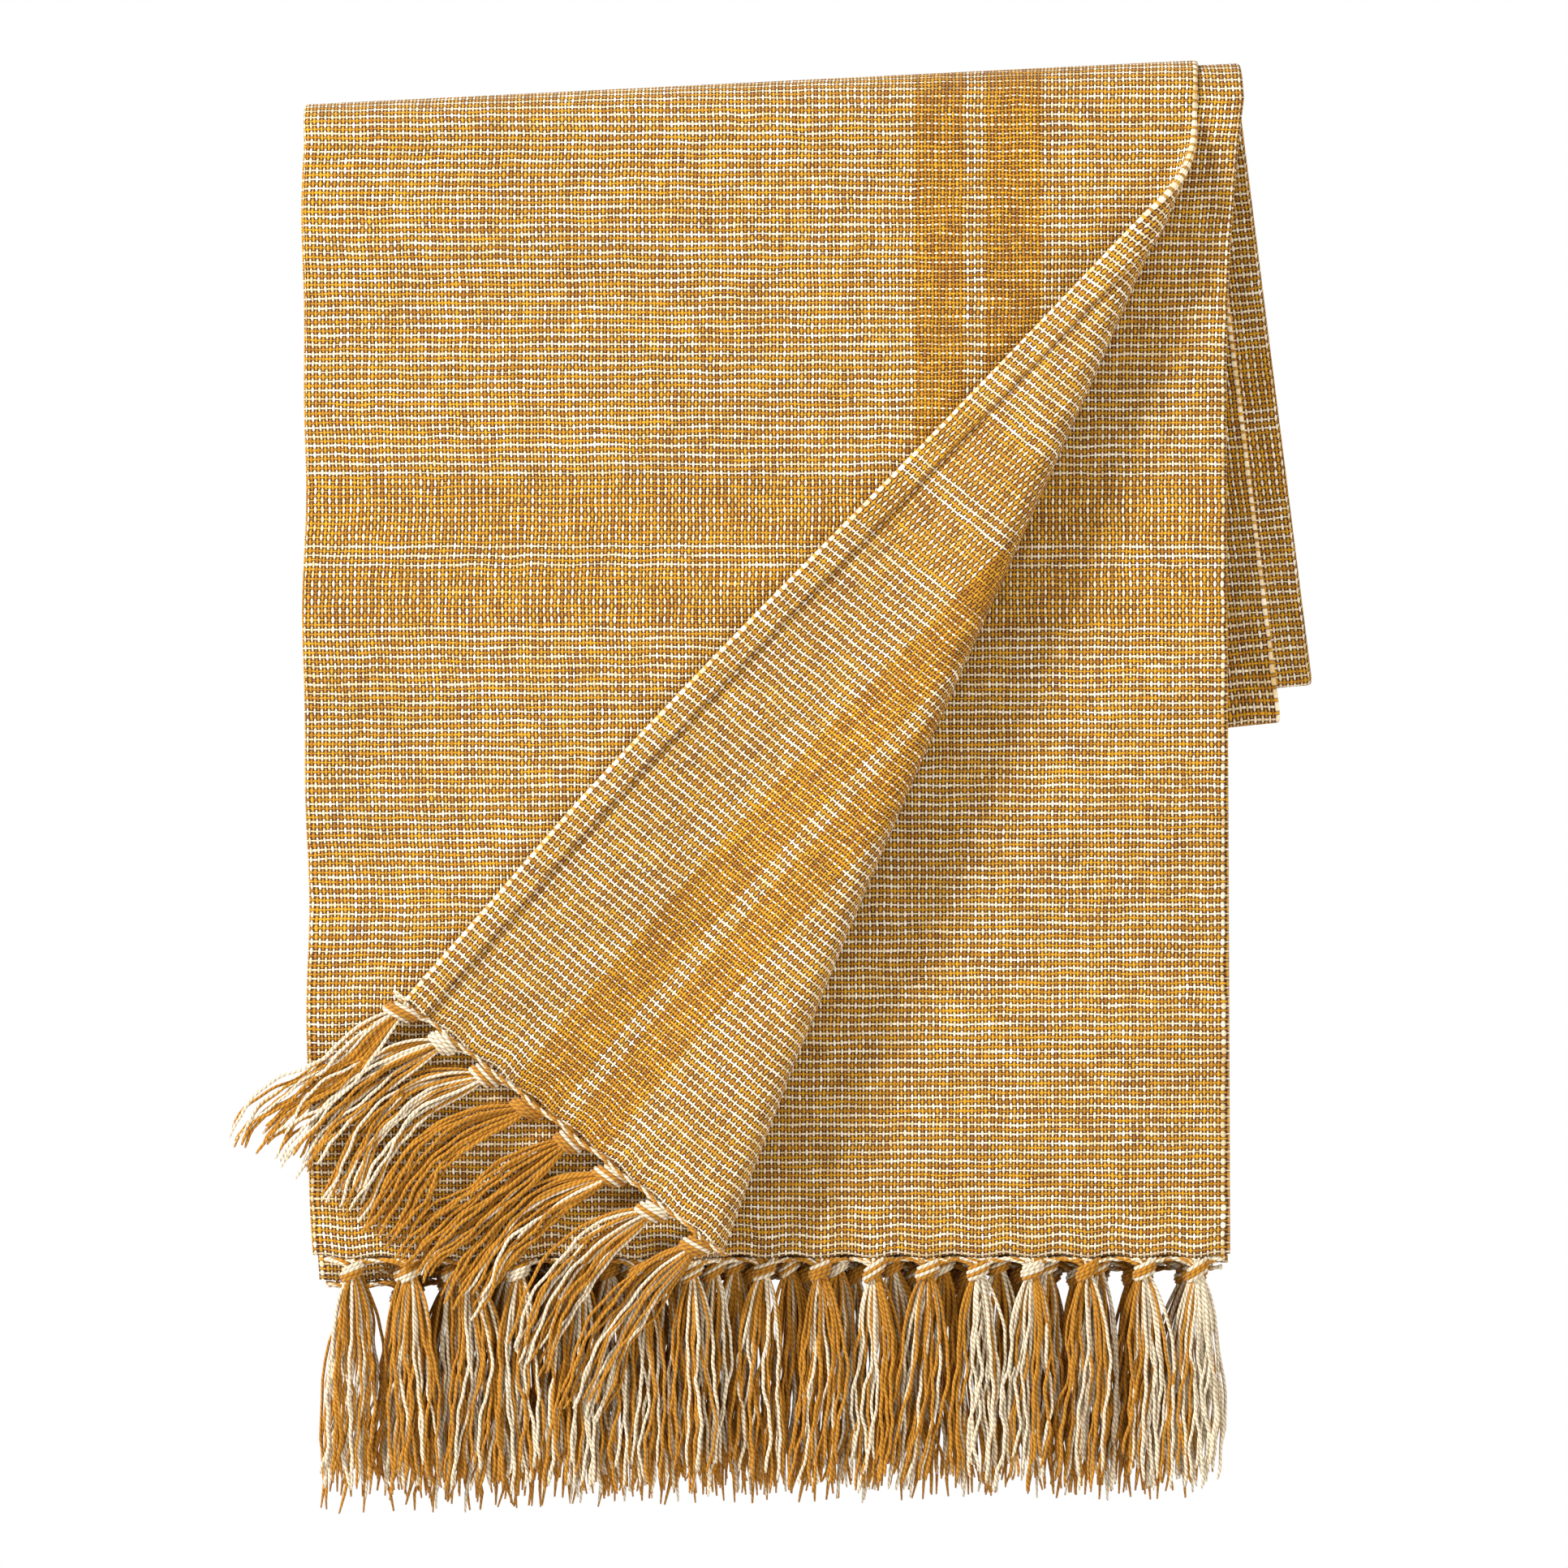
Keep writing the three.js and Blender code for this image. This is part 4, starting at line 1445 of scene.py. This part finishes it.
@dataclass
class Throw:
    """The whole throw: its three thirds, hems and rows of fringe."""

    hang: Hang
    front_mesh: float = 3.4 * MM
    rear_mesh: float = 4.2 * MM
    roll_start: float = 1.0 * MM
    roll_end: float = 2.1 * MM
    swing_fade: float = 30 * MM
    slant_spread: float = 3.0
    end_slant: float = 2.0

    def build(self) -> None:
        h = self.hang
        woven = WovenCotton().build()
        hemmed = WovenCotton(name="woven_slub_cotton_turned", brightness=1.02).build()
        yarn = FringeYarn().build()
        rows = self.fringe(yarn)
        corner = TurnedCorner(h)
        woven_edge = WovenCotton.end_pitch / 2
        front = Third(
            h, "front_third_cloth", 5, woven, hemmed, woven_edge, Side.RIGHT, (Side.LEFT,),
            self.front_mesh, corner,
        )
        u_middle = woven_edge + h.front_hem - h.left + front.fold_length
        middle = Third(
            h, "middle_third_cloth", 4, woven, hemmed, u_middle, None, (Side.LEFT, Side.RIGHT),
            self.rear_mesh,
        )
        u_back = u_middle + h.right - h.left + front.fold_length
        back = Third(
            h, "back_third_cloth", 3, woven, hemmed, u_back, Side.LEFT, (Side.RIGHT,), self.rear_mesh
        )
        made = front.build()
        start, end = self.blend_planes()
        for piece in made.values():
            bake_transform(piece)
        self.finish(made["cloth"], "woven_cloth", ["front_third", "corner_flap"])
        self.finish(made["hem"], "turned_hem", ["front_hem", "flap_hem"])
        made = middle.build()
        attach(made["cloth"], "cloth")
        self.finish(made["cloth"], "woven_cloth", ["middle_third"])
        made = back.build()
        for piece in made.values():
            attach(piece, "cloth")
        self.finish(made["cloth"], "woven_cloth", ["back_third"])
        self.finish(made["hem"], "turned_hem", ["back_hem"])

    def blend_planes(self) -> tuple[tuple[float, ...], tuple[float, ...]]:
        """Where the roll starts to follow the corner and where it follows it wholly.

        The two planes lean with the front leaf and lie just in front of it.

        Returns:
            A point on each plane, one in front of the other along their shared normal.
        """
        h = self.hang
        normal = unit(np.array([0.0, -h.drop, h.lean]))
        top = np.array([0.0, float(h.front_plane(np.float64(h.layers - 1), np.float64(0))), 0.0])
        start = top + normal * self.roll_start
        end = top + normal * self.roll_end
        return tuple(float(v) for v in start), tuple(float(v) for v in end)

    def finish(self, piece: bpy.types.Object, slot: str, nodes: Sequence[str]) -> None:
        """Hides the frame's nodes that the piece stands for, and reports the piece."""
        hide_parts(*nodes)
        LOG.info("%s: %d faces for %d nodes", piece.name, len(piece.data.polygons), len(nodes))

    def fringe(self, yarn: bpy.types.Material) -> dict[str, bpy.types.Object]:
        """Builds the seven rows of fringe.

        Args:
            yarn: their finish.

        Returns:
            The rows by a short name.
        """
        full = len(nodes_named("middle_tassel"))
        short = len(nodes_named("back_tassel"))
        plans = (
            RowPlan("front", 5, len(nodes_named("front_tassel")), 0.0),
            RowPlan("middle", 4, full, 0.0),
            RowPlan("back", 3, short, 0.42),
            RowPlan("rear_back", 2, short, -0.3),
            RowPlan("rear_middle", 1, full, 0.5),
            RowPlan("rear_front", 0, short, -0.45),
        )
        made = {plan.key: self.hanging_row(plan, seed, yarn) for seed, plan in enumerate(plans)}
        made["flap"] = self.flap_fringe(yarn)
        return made

    def hanging_row(self, plan: RowPlan, seed: int, yarn: bpy.types.Material) -> bpy.types.Object:
        """Builds one row that hangs from a layer's fringed edge.

        Args:
            plan: the row's place and count.
            seed: what sets its tassels apart from the other rows'.
            yarn: its finish.

        Returns:
            The row.
        """
        h, key, count = self.hang, plan.key, plan.count
        width = h.front_pitch if key == "front" else h.pitch
        left = h.right - count * h.pitch if key.endswith("back") else h.left
        random = np.random.default_rng(40 + seed)
        place = (np.arange(count) + 0.5) / count
        x = left + width * (np.arange(count) + 0.5)
        x = x + width * (plan.shift * np.sin(np.pi * place) + random.uniform(-0.07, 0.07, count))
        level = np.full(count, float(plan.layer))
        origins = h.front_point(x, h.edge_height(x, level), level)
        start_slants = np.radians(random.normal(0, self.slant_spread, count))
        end_slants = np.radians(random.normal(self.end_slant, self.slant_spread, count))
        tassels = TasselRow(
            f"{key}_fringe_yarns", origins, np.array([1.0, 0.0, 0.0]), start_slants, end_slants,
            width, yarn, seed, yarns=14 if plan.rear else 16, stations=18 if plan.rear else 36,
            sides=5 if plan.rear else 6, mustard_share=0.8 if plan.rear else 0.56,
        )
        row = tassels.build()
        nodes = [f"{key}_fringe"] if plan.rear else nodes_named(f"{key}_tassel")
        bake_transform(row)
        self.finish(row, "fringe_yarn", nodes)
        return row

    def flap_fringe(self, yarn: bpy.types.Material) -> bpy.types.Object:
        """Builds the turned corner's tassels, swept to the left over the leaf.

        Args:
            yarn: their finish.

        Returns:
            The row.
        """
        h = self.hang
        nodes = nodes_named("flap_tassel")
        corner = TurnedCorner(h)
        material_x = np.linspace(h.front_hem - 5 * MM, h.fold_foot[0] + 22 * MM, len(nodes))
        origins = corner(material_x, np.full(len(nodes), -h.drop))
        way = unit(origins[-1] - origins[0])
        slants = np.radians(np.array([74, 76, 72, 70, 72, 66, 58, 50], float))
        ends = np.radians(np.array([28, 33, 31, 36, 36, 32, 25, 21], float))
        pitch = float(np.linalg.norm(origins[-1] - origins[0])) / (len(nodes) - 1)
        tassels = TasselRow(
            "flap_fringe_yarns", origins, way, slants, ends, pitch, yarn, 77, rests=h, length=100 * MM,
            spread=10.5 * MM, yarns=18, knot_half=5.9 * MM, knot_depth=4.4 * MM, knot_length=8.5 * MM,
            dyes=np.array([0.6, 0.45, 0.55, 1.0, 0.92, 0.85, 0.5, 0.6]),
        )
        row = tassels.build()
        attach(row, "turned_corner")
        self.finish(row, "fringe_yarn", nodes)
        return row


def main() -> None:
    """Builds the studio and the throw."""
    logging.basicConfig(level=logging.INFO, format="%(name)s: %(message)s")
    hang = Hang.from_frame()
    Studio().build()
    Throw(hang).build()
    bpy.context.view_layer.update()


if __name__ == "__main__":
    main()
